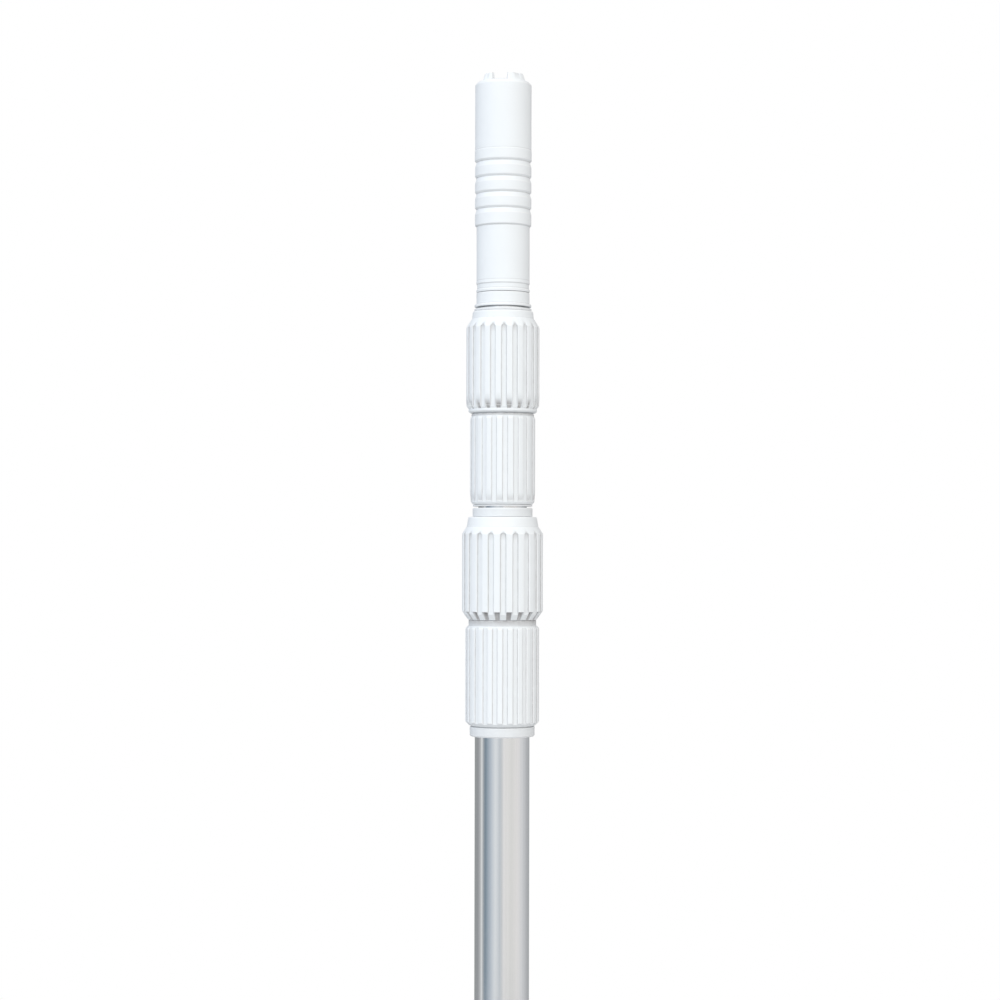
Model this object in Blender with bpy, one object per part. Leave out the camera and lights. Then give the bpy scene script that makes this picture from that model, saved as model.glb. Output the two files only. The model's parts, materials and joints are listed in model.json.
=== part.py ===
"""Telescopic window-cleaning pole, fully closed, standing on its butt.

Three aluminium tubes slide in one another.  Each joint between two tubes has a
twist lock: a ribbed collar on the larger tube, and a ribbed nut that screws down
on the collar and drives a wedge ring over a slotted collet.  The inner tube
carries a ribbed plastic sleeve and a castellated crown for the cleaning tool.
Lengths below are millimetres and heights are measured from the butt.
"""

import math
from dataclasses import dataclass

import bmesh
import bpy
from mathutils import Matrix

MM = 0.001
CLEAR = 0.3            # gap left between any two pieces that touch
FULL_TURN = 2.0 * math.pi

# ---- driving dimensions -------------------------------------------------------
CLOSED_LENGTH = 1218.2
STROKE = 780.0         # travel of each telescoping section

OUTER_TUBE_R, OUTER_WALL = 17.5, 1.3
MIDDLE_TUBE_R, MIDDLE_WALL = 15.5, 1.2
INNER_TUBE_R, INNER_WALL = 13.5, 1.2

TUBE_SIDES = 48        # facets round the outer tube
RING_SIDES = 36        # facets round the plain rings and the sleeve
HIDDEN_SIDES = 28      # facets round the pieces inside
PIN_SIDES = 12

# ---- butt ---------------------------------------------------------------------
BUTT_R = 19.4
BUTT_HEIGHT = 42.0
BUTT_FLOOR = 6.0
BUTT_CHAMFER = 1.6
BUTT_PLUG_TOP = 30.0

# ---- twist locks --------------------------------------------------------------
TUBE_ABOVE_COLLAR = 14.5       # tube end above the collar's ribbed part
NECK_ABOVE_COLLAR = 21.8       # threaded neck above the collar's ribbed part
COLLET_BASE_TOP = 22.0
COLLET_TAPER_START = 24.0
COLLET_TOP = 49.5
WEDGE_BOTTOM, WEDGE_TOP = 26.0, 50.5
NUT_STEP = 24.0                # thread bore below, wedge bore above
NUT_SHOULDER = 50.9            # inner shoulder that pushes the wedge ring down
SPIGOT_BOTTOM = 56.0           # lower end of the wiper ring's spigot
LINER_TOP = -6.3               # top of the collar liner
COLLET_SLOTS, SLOT_WIDTH = 3, 2.0
SLOT_START = 3.0               # slots begin this far above the collet's base

# radii measured outward from the sliding tube or the tube that carries the collar
COLLET_BASE = 3.4
COLLET_WALL, COLLET_TIP_WALL = 3.1, 1.7
WEDGE_GAP = 0.4                # wedge ring's bore to the collet's taper
SPIGOT_WALL = 2.9
LINER_WALL = 1.9
THREAD_GAP = 0.4               # nut's thread bore beyond the neck
WEDGE_BORE_STEP = 0.1          # nut's wedge bore inside the neck's radius
WEDGE_INSET = 0.4              # wedge ring inside the neck's radius
POCKET_INSET = 0.3             # foot of the hollow under a rib, inside the nut's rim
POCKET_LEDGE = 0.4             # height of the sloping end of a rib
COLLAR_TOP = -0.6              # where a collar's ribs begin to round off
COLLAR_ROUND_HEIGHT = 1.8

# ---- guide bushes and end plugs ----------------------------------------------
BUSH_LENGTH = 45.0
BUSH_SPLIT = 3.0
BUSH_INSET = 3.2               # bore of a bush inside the radius of its tube
PLUG_FLANGE = 4.0
PLUG_SPIGOT = 26.0
PIN_R = 1.5
PIN_HEIGHT = 12.0              # above the end of the tube
PIN_TURN = math.radians(16.9)  # pins point at the middle of a tube's facet

# ---- tip ----------------------------------------------------------------------
CROWN_SEAT = CLOSED_LENGTH - 4.3      # flat ring between the lugs
CROWN_R = 15.35
CROWN_TOP_R = 13.9
SOCKET_R = 11.0
SOCKET_FLOOR = 1188.0
INNER_TUBE_TOP = 1180.0
CROWN_SPIGOT_BOTTOM = 1150.0
CROWN_PIN_HEIGHT = 1166.0
SLEEVE_TOP = 1213.4
SLEEVE_CHAMFER = 1.7
SLEEVE_R = 18.0
SLEEVE_LOWER_R = 16.95
SLEEVE_BOTTOM = 1079.2
RIDGE_FIRST, RIDGE_PITCH, RIDGE_COUNT = 1163.4, 10.05, 4
RIDGE_DEPTH = 1.0
RIDGE_STEP, RIDGE_SLOPE = 1.2, 3.1    # undercut of a ridge, and the slope back to full radius
BAND_HEIGHT, BAND_RISE = 6.0, 0.15    # plain band above the first ridge
FLARE_LOW, FLARE_HIGH, FLARE_RISE = 1084.7, 1086.8, 0.15
GROOVE_LOW, GROOVE_HIGH, GROOVE_DROP = 1081.4, 1084.3, 0.4
RIM_HIGH, RIM_RISE = 1080.6, 0.15
END_RING_TOP, END_RING_BOTTOM = 1078.9, 1069.9
END_FLANGE_R, END_FLANGE_HEIGHT = 18.2, 1.7

# lug centres and half-widths in degrees, counted from +X towards +Y
LUGS = ((226.0, 13.0), (308.0, 26.0), (46.0, 13.0), (128.0, 26.0))
LUG_FLANK = 1.5


@dataclass(frozen=True)
class TwistLock:
    """Sizes of one twist lock; heights are above the top of the ribbed collar."""

    prefix: str
    height: float          # pole height of the collar's top edge
    tube_r: float          # tube that carries the collar
    member_r: float        # tube that slides through it
    collar_r: float
    collar_rib_bottom: float
    collar_bottom: float
    collar_bottom_r: float
    collar_round: float
    collar_grooves: int
    collar_phase: float
    collar_depth: float
    skirt_r: float
    skirt_top: float
    skirt_bottom: float
    skirt_chamfer: float
    neck_r: float
    flange_r: float        # plain band between the collar's ribs and the nut
    flange_top: float
    nut_r: float
    nut_bottom: float
    nut_bottom_r: float
    nut_tooth_top: float   # top of the cone on the teeth between two ribs
    nut_pocket_r: float    # back of the hollow under each rib
    nut_rib_bottom: float
    nut_rib_top: float
    nut_cone_bottom: float
    nut_cone_bottom_r: float
    nut_top: float
    nut_top_r: float
    nut_grooves: int
    nut_phase: float
    nut_depth: float
    lip_r: float
    lip_bottom: float
    lip_top: float


LOWER_LOCK = TwistLock(
    prefix="lower", height=866.9, tube_r=OUTER_TUBE_R, member_r=MIDDLE_TUBE_R,
    collar_r=23.6, collar_rib_bottom=-61.8, collar_bottom=-64.3, collar_bottom_r=20.95,
    collar_round=1.7, collar_grooves=22, collar_phase=4.5, collar_depth=0.9,
    skirt_r=20.75, skirt_top=-64.7, skirt_bottom=-71.2, skirt_chamfer=1.0,
    neck_r=20.6, flange_r=21.6, flange_top=3.0, nut_r=25.95, nut_bottom=3.3, nut_bottom_r=21.9,
    nut_tooth_top=6.9, nut_pocket_r=23.0, nut_rib_bottom=8.75,
    nut_rib_top=58.1, nut_cone_bottom=62.4, nut_cone_bottom_r=23.0,
    nut_top=68.9, nut_top_r=21.8, nut_grooves=20, nut_phase=1.0, nut_depth=1.4,
    lip_r=19.15, lip_bottom=69.1, lip_top=74.6)

UPPER_LOCK = TwistLock(
    prefix="upper", height=1000.5, tube_r=MIDDLE_TUBE_R, member_r=INNER_TUBE_R,
    collar_r=20.82, collar_rib_bottom=-54.4, collar_bottom=-56.7, collar_bottom_r=19.05,
    collar_round=0.7, collar_grooves=18, collar_phase=4.4, collar_depth=0.8,
    skirt_r=19.05, skirt_top=-56.7, skirt_bottom=-57.9, skirt_chamfer=0.25,
    neck_r=19.0, flange_r=20.0, flange_top=0.9, nut_r=23.42, nut_bottom=1.7, nut_bottom_r=20.9,
    nut_tooth_top=3.0, nut_pocket_r=20.9, nut_rib_bottom=6.0,
    nut_rib_top=56.2, nut_cone_bottom=61.7, nut_cone_bottom_r=19.7,
    nut_top=66.5, nut_top_r=19.3, nut_grooves=20, nut_phase=1.8, nut_depth=1.3,
    lip_r=18.3, lip_bottom=66.7, lip_top=68.2)

WHITE = (0.86, 0.88, 0.90)
TUBE_GREY = (0.66, 0.67, 0.69)


def clear_scene() -> None:
    """Remove whatever the file holds, so the model starts from nothing."""
    for old in list(bpy.data.objects):
        bpy.data.objects.remove(old, do_unlink=True)


def finish(name: str, colour: tuple, roughness: float, metallic: float = 0.0):
    """One Principled material."""
    material = bpy.data.materials.new(name)
    material.use_nodes = True
    shader = material.node_tree.nodes["Principled BSDF"]
    shader.inputs["Base Color"].default_value = (*colour, 1.0)
    shader.inputs["Roughness"].default_value = roughness
    shader.inputs["Metallic"].default_value = metallic
    return material


def white_plastic(name: str):
    """Moulded white plastic of the parts that show."""
    return finish(f"{name}_white_plastic", WHITE, 0.42)


def satin_aluminium(name: str):
    """Satin anodised aluminium of the tubes."""
    return finish(f"{name}_satin_aluminium", TUBE_GREY, 0.32, 1.0)


def natural_nylon(name: str):
    """Slightly yellow nylon of the collets, wedges and bushes."""
    return finish(f"{name}_nylon", (0.80, 0.79, 0.74), 0.5)


def grey_rubber(name: str):
    """Dark grey rubber of the butt cap."""
    return finish(f"{name}_rubber", (0.10, 0.10, 0.11), 0.75)


def steel(name: str):
    """Plain steel of the cross pins."""
    return finish(f"{name}_steel", (0.55, 0.55, 0.56), 0.35, 1.0)


class Body:
    """Pieces that move as one, hung on an empty that lies on the pole's axis."""

    def __init__(self, name: str, height: float) -> None:
        self.height = height
        self.empty = bpy.data.objects.new(name + "_axis", None)
        self.empty.location.z = height * MM
        bpy.context.scene.collection.objects.link(self.empty)

    def add(self, name: str, mesh_builder, material) -> bpy.types.Object:
        """Turn a bmesh in pole heights into a piece whose origin is this empty."""
        mesh_builder.transform(Matrix.Translation((0.0, 0.0, -self.height * MM)))
        bmesh.ops.recalc_face_normals(mesh_builder, faces=mesh_builder.faces)
        if mesh_builder.calc_volume(signed=True) < 0.0:
            bmesh.ops.reverse_faces(mesh_builder, faces=mesh_builder.faces)
        mesh = bpy.data.meshes.new(name)
        mesh_builder.to_mesh(mesh)
        mesh_builder.free()
        mesh.shade_smooth()
        mesh.set_sharp_from_angle(angle=math.radians(35.0))
        piece = bpy.data.objects.new(name, mesh)
        piece.parent = self.empty
        bpy.context.scene.collection.objects.link(piece)
        mesh.materials.append(material)
        return piece


def stations_solid(stations: list) -> bmesh.types.BMesh:
    """Closed ring from (angle, outline) stations that all have as many points."""
    shape = bmesh.new()
    loops = []
    for angle, outline in stations:
        cosine, sine = math.cos(angle), math.sin(angle)
        loops.append([shape.verts.new((r * cosine * MM, r * sine * MM, z * MM)) for r, z in outline])
    for here, after in zip(loops, loops[1:] + loops[:1]):
        for k in range(len(here)):
            following = (k + 1) % len(here)
            shape.faces.new((here[k], after[k], after[following], here[following]))
    return shape


def turned(outline: list, sides: int = HIDDEN_SIDES) -> bmesh.types.BMesh:
    """Spin a closed outline of (radius, height) points round the pole's axis."""
    shape = bmesh.new()
    points = [shape.verts.new((r * MM, 0.0, z * MM)) for r, z in outline]
    edges = [shape.edges.new((a, b)) for a, b in zip(points, points[1:] + points[:1])
             if a.co.x > 0.0 or b.co.x > 0.0]
    bmesh.ops.spin(shape, geom=points + edges, cent=(0, 0, 0), axis=(0, 0, 1),
                   angle=FULL_TURN, steps=sides, use_merge=True)
    bmesh.ops.remove_doubles(shape, verts=shape.verts, dist=0.00001)
    return shape


def cutter(name: str, shape: bmesh.types.BMesh, body: Body) -> bpy.types.Object:
    """A solid that only cuts others, left out of the model."""
    tool = body.add(name, shape, None)
    tool.hide_render = True
    tool.display_type = "WIRE"
    return tool


def cut(piece: bpy.types.Object, tool: bpy.types.Object) -> None:
    """Take one cutter away from a piece."""
    boolean = piece.modifiers.new("cut_" + tool.name, "BOOLEAN")
    boolean.operation = "DIFFERENCE"
    boolean.solver = "EXACT"
    boolean.object = tool


def slab(width: float, length: float, low: float, high: float, turn: float,
         shift: float = 0.0) -> bmesh.types.BMesh:
    """Upright slab through the axis, or to one side of it, turned about the axis."""
    shape = bmesh.new()
    bmesh.ops.create_cube(shape, size=1.0)
    size = Matrix.Diagonal((length * MM, width * MM, (high - low) * MM, 1.0))
    place = Matrix.Translation((shift * MM, 0.0, 0.5 * (low + high) * MM))
    shape.transform(Matrix.Rotation(turn, 4, "Z") @ place @ size)
    return shape


def cross_rod(radius: float, half_length: float, height: float) -> bmesh.types.BMesh:
    """Round rod across the pole, through its axis."""
    shape = bmesh.new()
    bmesh.ops.create_cone(shape, cap_ends=True, segments=PIN_SIDES, radius1=radius * MM,
                          radius2=radius * MM, depth=2.0 * half_length * MM)
    lie_down = Matrix.Rotation(PIN_TURN, 4, "Z") @ Matrix.Rotation(math.pi / 2, 4, "X")
    shape.transform(Matrix.Translation((0.0, 0.0, height * MM)) @ lie_down)
    return shape


def fluted(crest: list, floor: list, grooves: int, phase: float) -> bmesh.types.BMesh:
    """Ring whose outline alternates between rib crest and groove floor.

    A groove has its floor at its centre and a crest edge a quarter pitch each side.
    The phase is the angle in degrees of one groove from the facing side (-Y),
    positive towards +X.
    """
    pitch = FULL_TURN / grooves
    start = math.radians(phase - 90.0)
    stations = []
    for k in range(grooves):
        centre = start + k * pitch
        stations += [(centre - 0.25 * pitch, crest), (centre, floor), (centre + 0.25 * pitch, crest)]
    return stations_solid(stations)


def tube(body: Body, name: str, radius: float, wall: float, low: float, high: float, sides: int):
    """Plain drawn tube."""
    outline = [(radius, high), (radius, low), (radius - wall, low), (radius - wall, high)]
    return body.add(name, turned(outline, sides), satin_aluminium(name))


def butt_cap(body: Body) -> None:
    """Rubber cap: a cup outside the tube and a plug inside it."""
    inside = OUTER_TUBE_R - OUTER_WALL - CLEAR
    outside = OUTER_TUBE_R + CLEAR
    outline = [(0.0, BUTT_PLUG_TOP), (inside - 1.0, BUTT_PLUG_TOP), (inside, BUTT_PLUG_TOP - 1.5),
               (inside, BUTT_FLOOR), (outside, BUTT_FLOOR), (outside, BUTT_HEIGHT),
               (BUTT_R - 0.6, BUTT_HEIGHT), (BUTT_R, BUTT_HEIGHT - 0.8), (BUTT_R, BUTT_CHAMFER),
               (BUTT_R - BUTT_CHAMFER, 0.0), (0.0, 0.0)]
    body.add("butt_cap", turned(outline), grey_rubber("butt_cap"))


def collar_outline(lock: TwistLock, depth: float) -> list:
    """Section of a collar through a rib crest (depth 0) or a groove floor."""
    z = lock.height
    crest = lock.collar_r
    tube_bore = lock.tube_r + CLEAR
    seat_r = lock.member_r + COLLET_BASE + CLEAR
    liner_bore = lock.tube_r + LINER_WALL + CLEAR
    flange_top = z + lock.flange_top
    top = z + COLLAR_TOP
    return [
        (lock.neck_r, z + NECK_ABOVE_COLLAR), (lock.neck_r, flange_top),
        (lock.flange_r, flange_top), (lock.flange_r, top), (crest - lock.collar_round, top),
        (crest - 0.3 * lock.collar_round - 0.6 * depth, top - 0.3 * COLLAR_ROUND_HEIGHT),
        (crest - depth, top - COLLAR_ROUND_HEIGHT),
        (crest - depth, z + lock.collar_rib_bottom), (lock.collar_bottom_r, z + lock.collar_bottom),
        (liner_bore, z + lock.collar_bottom), (liner_bore, z + LINER_TOP + CLEAR),
        (tube_bore, z + LINER_TOP + CLEAR), (tube_bore, z + TUBE_ABOVE_COLLAR + CLEAR),
        (seat_r, z + TUBE_ABOVE_COLLAR + CLEAR), (seat_r, z + NECK_ABOVE_COLLAR)]


def collar(body: Body, lock: TwistLock) -> None:
    """Ribbed collar with its threaded neck, bonded over the liner."""
    name = lock.prefix + "_collar"
    shape = fluted(collar_outline(lock, 0.0), collar_outline(lock, lock.collar_depth),
                   lock.collar_grooves, lock.collar_phase)
    body.add(name, shape, white_plastic(name))


def collar_liner(body: Body, lock: TwistLock) -> None:
    """Sleeve between tube and collar, whose lower end shows as a skirt."""
    name = lock.prefix + "_collar_liner"
    z = lock.height
    bore = lock.tube_r + CLEAR
    outside = lock.tube_r + LINER_WALL
    outline = [
        (bore, z + LINER_TOP), (outside, z + LINER_TOP), (outside, z + lock.skirt_top - CLEAR),
        (lock.skirt_r, z + lock.skirt_top - CLEAR),
        (lock.skirt_r, z + lock.skirt_bottom + lock.skirt_chamfer),
        (lock.skirt_r - 0.6 * lock.skirt_chamfer, z + lock.skirt_bottom), (bore, z + lock.skirt_bottom)]
    body.add(name, turned(outline, RING_SIDES), white_plastic(name))


def collet(body: Body, lock: TwistLock) -> None:
    """Slotted collet that grips the sliding tube, seated in the collar's neck."""
    name = lock.prefix + "_collet"
    z = lock.height
    bore = lock.member_r + CLEAR
    base_r = lock.member_r + COLLET_BASE
    finger_r = lock.member_r + COLLET_WALL
    outline = [
        (bore, z + COLLET_TOP), (bore, z + TUBE_ABOVE_COLLAR + 2 * CLEAR),
        (base_r, z + TUBE_ABOVE_COLLAR + 2 * CLEAR), (base_r, z + COLLET_BASE_TOP),
        (finger_r, z + COLLET_BASE_TOP), (finger_r, z + COLLET_TAPER_START),
        (lock.member_r + COLLET_TIP_WALL, z + COLLET_TOP)]
    piece = body.add(name, turned(outline), natural_nylon(name))
    for k in range(COLLET_SLOTS):
        slot = slab(SLOT_WIDTH, 4.0 * lock.member_r, z + COLLET_BASE_TOP + SLOT_START,
                    z + COLLET_TOP + SLOT_START, math.radians(15.0) + k * math.pi / COLLET_SLOTS)
        cut(piece, cutter(f"{name}_slot_{k + 1}", slot, body))


def wedge_ring(body: Body, lock: TwistLock) -> None:
    """Conical ring that the nut drives down over the collet's fingers."""
    name = lock.prefix + "_wedge_ring"
    z = lock.height
    slope = (COLLET_WALL - COLLET_TIP_WALL) / (COLLET_TOP - COLLET_TAPER_START)
    taper_r = lock.member_r + COLLET_WALL + WEDGE_GAP
    bottom_r = taper_r - slope * (WEDGE_BOTTOM - COLLET_TAPER_START)
    top_r = taper_r - slope * (WEDGE_TOP - COLLET_TAPER_START)
    outside = lock.neck_r - WEDGE_INSET
    outline = [(outside, z + WEDGE_TOP), (outside, z + WEDGE_BOTTOM),
               (bottom_r, z + WEDGE_BOTTOM), (top_r, z + WEDGE_TOP)]
    body.add(name, turned(outline), natural_nylon(name))


def nut_outline(lock: TwistLock, depth: float) -> list:
    """Section of a nut through a rib crest (depth 0) or a groove floor.

    Under each rib the nut's foot is hollowed, which leaves a tooth under each groove.
    A groove's floor runs on up until it meets the cone above the ribs.
    """
    z = lock.height
    thread_bore = lock.neck_r + THREAD_GAP
    wedge_bore = lock.neck_r - WEDGE_BORE_STEP
    top_bore = lock.member_r + SPIGOT_WALL + CLEAR
    rib_r = lock.nut_r - depth
    shoulder = (lock.nut_cone_bottom - lock.nut_rib_top) / (lock.nut_r - lock.nut_cone_bottom_r)
    if depth:
        foot = [(lock.nut_bottom_r, z + lock.nut_bottom), (rib_r, z + lock.nut_tooth_top)]
    else:
        foot = [(lock.nut_bottom_r - POCKET_INSET, z + lock.nut_bottom),
                (lock.nut_pocket_r, z + lock.nut_rib_bottom - POCKET_LEDGE)]
    return foot + [
        (rib_r, z + lock.nut_rib_bottom), (rib_r, z + lock.nut_rib_top + depth * shoulder),
        (lock.nut_cone_bottom_r, z + lock.nut_cone_bottom), (lock.nut_top_r, z + lock.nut_top),
        (top_bore, z + lock.nut_top), (top_bore, z + NUT_SHOULDER), (wedge_bore, z + NUT_SHOULDER),
        (wedge_bore, z + NUT_STEP), (thread_bore, z + NUT_STEP), (thread_bore, z + lock.nut_bottom)]


def nut(body: Body, lock: TwistLock) -> None:
    """Ribbed hand nut."""
    name = lock.prefix + "_nut"
    shape = fluted(nut_outline(lock, 0.0), nut_outline(lock, lock.nut_depth),
                   lock.nut_grooves, lock.nut_phase)
    body.add(name, shape, white_plastic(name))


def wiper_ring(body: Body, lock: TwistLock) -> None:
    """Lipped ring pushed into the top of the nut, which wipes the sliding tube."""
    name = lock.prefix + "_wiper_ring"
    z = lock.height
    bore = lock.member_r + CLEAR
    spigot = lock.member_r + SPIGOT_WALL
    outline = [(bore, z + lock.lip_top), (bore, z + SPIGOT_BOTTOM), (spigot, z + SPIGOT_BOTTOM),
               (spigot, z + lock.lip_bottom), (lock.lip_r, z + lock.lip_bottom + 0.2),
               (lock.lip_r, z + lock.lip_top - 0.5), (lock.lip_r - 0.5, z + lock.lip_top)]
    body.add(name, turned(outline, RING_SIDES), white_plastic(name))


def bush_top(lock: TwistLock) -> float:
    """Height where a bush lies so that it meets the collet at the full stroke."""
    return lock.height + TUBE_ABOVE_COLLAR + CLEAR - STROKE


def guide_bush(body: Body, name: str, host_bore: float, member_r: float, top: float) -> None:
    """Split bush that guides the tube's lower end and stops it at full stroke."""
    outside, inside = host_bore - CLEAR, member_r - BUSH_INSET
    outline = [(outside, top), (outside, top - BUSH_LENGTH), (inside, top - BUSH_LENGTH), (inside, top)]
    piece = body.add(name, turned(outline), natural_nylon(name))
    split = slab(BUSH_SPLIT, 1.5 * member_r, top - BUSH_LENGTH - 5.0, top + 5.0, math.radians(40.0),
                 shift=0.95 * member_r)
    cut(piece, cutter(name + "_split", split, body))


def end_plug(body: Body, prefix: str, member_r: float, wall: float, top_of_bush: float) -> None:
    """Plug pinned in the tube's lower end, with a flange that holds the bush on."""
    name = prefix + "_end_plug"
    tube_end = top_of_bush + CLEAR
    in_tube = member_r - wall - CLEAR
    journal = member_r - BUSH_INSET - CLEAR
    flange_top = top_of_bush - BUSH_LENGTH - CLEAR
    flange_r = member_r - CLEAR
    outline = [(0.0, tube_end + PLUG_SPIGOT), (in_tube, tube_end + PLUG_SPIGOT), (in_tube, tube_end),
               (journal, tube_end), (journal, flange_top), (flange_r, flange_top),
               (flange_r, flange_top - PLUG_FLANGE + 1.0),
               (flange_r - 1.0, flange_top - PLUG_FLANGE), (0.0, flange_top - PLUG_FLANGE)]
    piece = body.add(name, turned(outline), natural_nylon(name))
    hole = cross_rod(PIN_R + CLEAR, 2.0 * member_r, tube_end + PIN_HEIGHT)
    tool = cutter(prefix + "_plug_pin_hole", hole, body)
    cut(piece, tool)
    cut(bpy.data.objects[prefix + "_tube"], tool)
    pin = cross_rod(PIN_R, flange_r, tube_end + PIN_HEIGHT)
    body.add(prefix + "_plug_pin", pin, steel(prefix + "_plug_pin"))


def crown_outline(lug: bool) -> list:
    """Section of the crown insert, through a lug or between two lugs."""
    rim = CLOSED_LENGTH if lug else CROWN_SEAT
    rim_r = CROWN_TOP_R if lug else CROWN_R
    inner_rim = SOCKET_R + 0.4 if lug else SOCKET_R
    spigot = INNER_TUBE_R - INNER_WALL - CLEAR
    shoulder = INNER_TUBE_TOP + CLEAR
    return [(rim_r, rim), (CROWN_R, CROWN_SEAT - 0.5), (CROWN_R, shoulder), (spigot, shoulder),
            (spigot, CROWN_SPIGOT_BOTTOM), (0.0, CROWN_SPIGOT_BOTTOM), (0.0, SOCKET_FLOOR),
            (SOCKET_R, SOCKET_FLOOR), (inner_rim, rim)]


def crown_stations() -> list:
    """Stations round the crown: pairs at each lug flank and some between."""
    stations = []
    for centre, half in LUGS:
        steps = 3 if half < 20.0 else 5
        for k in range(steps):
            angle = centre - half + 2.0 * half * k / (steps - 1)
            stations.append((angle, True))
        stations += [(centre - half - LUG_FLANK, False), (centre + half + LUG_FLANK, False)]
    ordered = sorted((angle % 360.0, lug) for angle, lug in stations)
    filled = []
    for k, (angle, lug) in enumerate(ordered):
        filled.append((math.radians(angle), crown_outline(lug)))
        following, next_lug = ordered[(k + 1) % len(ordered)]
        gap = (following - angle) % 360.0
        if not lug and not next_lug and gap > 20.0:
            for part in range(1, 4):
                filled.append((math.radians(angle + gap * part / 4), crown_outline(False)))
    return filled


def crown(body: Body) -> None:
    """Castellated insert with the tool socket, pinned in the inner tube."""
    shape = stations_solid(crown_stations())
    bmesh.ops.remove_doubles(shape, verts=shape.verts, dist=0.00001)
    piece = body.add("crown_insert", shape, white_plastic("crown_insert"))
    hole = cross_rod(PIN_R + CLEAR, 2.0 * INNER_TUBE_R, CROWN_PIN_HEIGHT)
    tool = cutter("crown_pin_hole", hole, body)
    cut(piece, tool)
    cut(bpy.data.objects["inner_tube"], tool)
    pin = cross_rod(PIN_R, INNER_TUBE_R - 0.1, CROWN_PIN_HEIGHT)
    body.add("crown_pin", pin, steel("crown_pin"))


def tip_sleeve(body: Body) -> None:
    """Grip sleeve over the inner tube, with saw-tooth ridges and a stepped foot."""
    band_r = SLEEVE_R + BAND_RISE
    band_top = RIDGE_FIRST + BAND_HEIGHT
    outline = [(CROWN_R + CLEAR, SLEEVE_TOP), (SLEEVE_R - SLEEVE_CHAMFER, SLEEVE_TOP),
               (SLEEVE_R, SLEEVE_TOP - SLEEVE_CHAMFER),
               (SLEEVE_R, band_top + 0.7), (band_r, band_top), (band_r, RIDGE_FIRST)]
    for k in range(RIDGE_COUNT):
        step = RIDGE_FIRST - k * RIDGE_PITCH
        outline += [(SLEEVE_R - RIDGE_DEPTH, step - RIDGE_STEP),
                    (SLEEVE_R, step - RIDGE_STEP - RIDGE_SLOPE), (SLEEVE_R, step - RIDGE_PITCH)]
    foot = RIDGE_FIRST - RIDGE_COUNT * RIDGE_PITCH
    outline[-1] = (SLEEVE_R, foot - 1.3)
    outline += [(SLEEVE_LOWER_R, foot - 2.0), (SLEEVE_LOWER_R, FLARE_HIGH),
                (SLEEVE_LOWER_R + FLARE_RISE, FLARE_LOW), (SLEEVE_LOWER_R - GROOVE_DROP, GROOVE_HIGH),
                (SLEEVE_LOWER_R - GROOVE_DROP, GROOVE_LOW), (SLEEVE_LOWER_R + RIM_RISE, RIM_HIGH),
                (SLEEVE_LOWER_R, SLEEVE_BOTTOM), (INNER_TUBE_R + CLEAR, SLEEVE_BOTTOM),
                (INNER_TUBE_R + CLEAR, INNER_TUBE_TOP), (CROWN_R + CLEAR, INNER_TUBE_TOP)]
    body.add("tip_sleeve", turned(outline, RING_SIDES), white_plastic("tip_sleeve"))


def tip_end_ring(body: Body) -> None:
    """Flanged ring that closes the sleeve's lower end, just above the upper nut's lip."""
    r = SLEEVE_LOWER_R
    bore = INNER_TUBE_R + CLEAR
    flange_top = END_RING_BOTTOM + END_FLANGE_HEIGHT
    outline = [(bore, END_RING_TOP), (bore, END_RING_BOTTOM), (END_FLANGE_R - 0.3, END_RING_BOTTOM),
               (END_FLANGE_R, END_RING_BOTTOM + 0.3), (END_FLANGE_R, flange_top - 0.3), (r, flange_top),
               (r, END_RING_TOP - 0.4), (r - 0.4, END_RING_TOP)]
    body.add("tip_end_ring", turned(outline, RING_SIDES), white_plastic("tip_end_ring"))


def lock_parts(fixed: Body, lock: TwistLock) -> None:
    """One twist lock: fixed collar parts, a sliding wedge ring and a turning nut."""
    collar_liner(fixed, lock)
    collar(fixed, lock)
    collet(fixed, lock)
    wedge_ring(Body(lock.prefix + "_wedge", lock.height + WEDGE_BOTTOM), lock)
    turning = Body(lock.prefix + "_nut_body", lock.height + lock.nut_bottom)
    nut(turning, lock)
    wiper_ring(turning, lock)


def sliding_section(body: Body, prefix: str, radius: float, wall: float, host: TwistLock,
                    host_bore: float, top: float) -> None:
    """Tube that slides through the host lock, with its bush, plug and pin."""
    stop = bush_top(host)
    bush_body = Body(prefix + "_bush", stop - BUSH_LENGTH)
    guide_bush(bush_body, prefix + "_guide_bush", host_bore, radius, stop)
    tube(body, prefix + "_tube", radius, wall, stop + CLEAR, top, HIDDEN_SIDES)
    end_plug(body, prefix, radius, wall, stop)


def main() -> None:
    """Build the closed pole from the butt up."""
    clear_scene()
    outer = Body("outer_section", 0.0)
    tube(outer, "outer_tube", OUTER_TUBE_R, OUTER_WALL, BUTT_FLOOR + CLEAR,
         LOWER_LOCK.height + TUBE_ABOVE_COLLAR, TUBE_SIDES)
    butt_cap(outer)
    lock_parts(outer, LOWER_LOCK)

    middle = Body("middle_section", bush_top(LOWER_LOCK))
    sliding_section(middle, "middle", MIDDLE_TUBE_R, MIDDLE_WALL, LOWER_LOCK,
                    OUTER_TUBE_R - OUTER_WALL, UPPER_LOCK.height + TUBE_ABOVE_COLLAR)
    lock_parts(middle, UPPER_LOCK)

    inner = Body("inner_section", bush_top(UPPER_LOCK))
    sliding_section(inner, "inner", INNER_TUBE_R, INNER_WALL, UPPER_LOCK,
                    MIDDLE_TUBE_R - MIDDLE_WALL, INNER_TUBE_TOP)
    crown(inner)
    tip_sleeve(inner)
    tip_end_ring(inner)


main()
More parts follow.
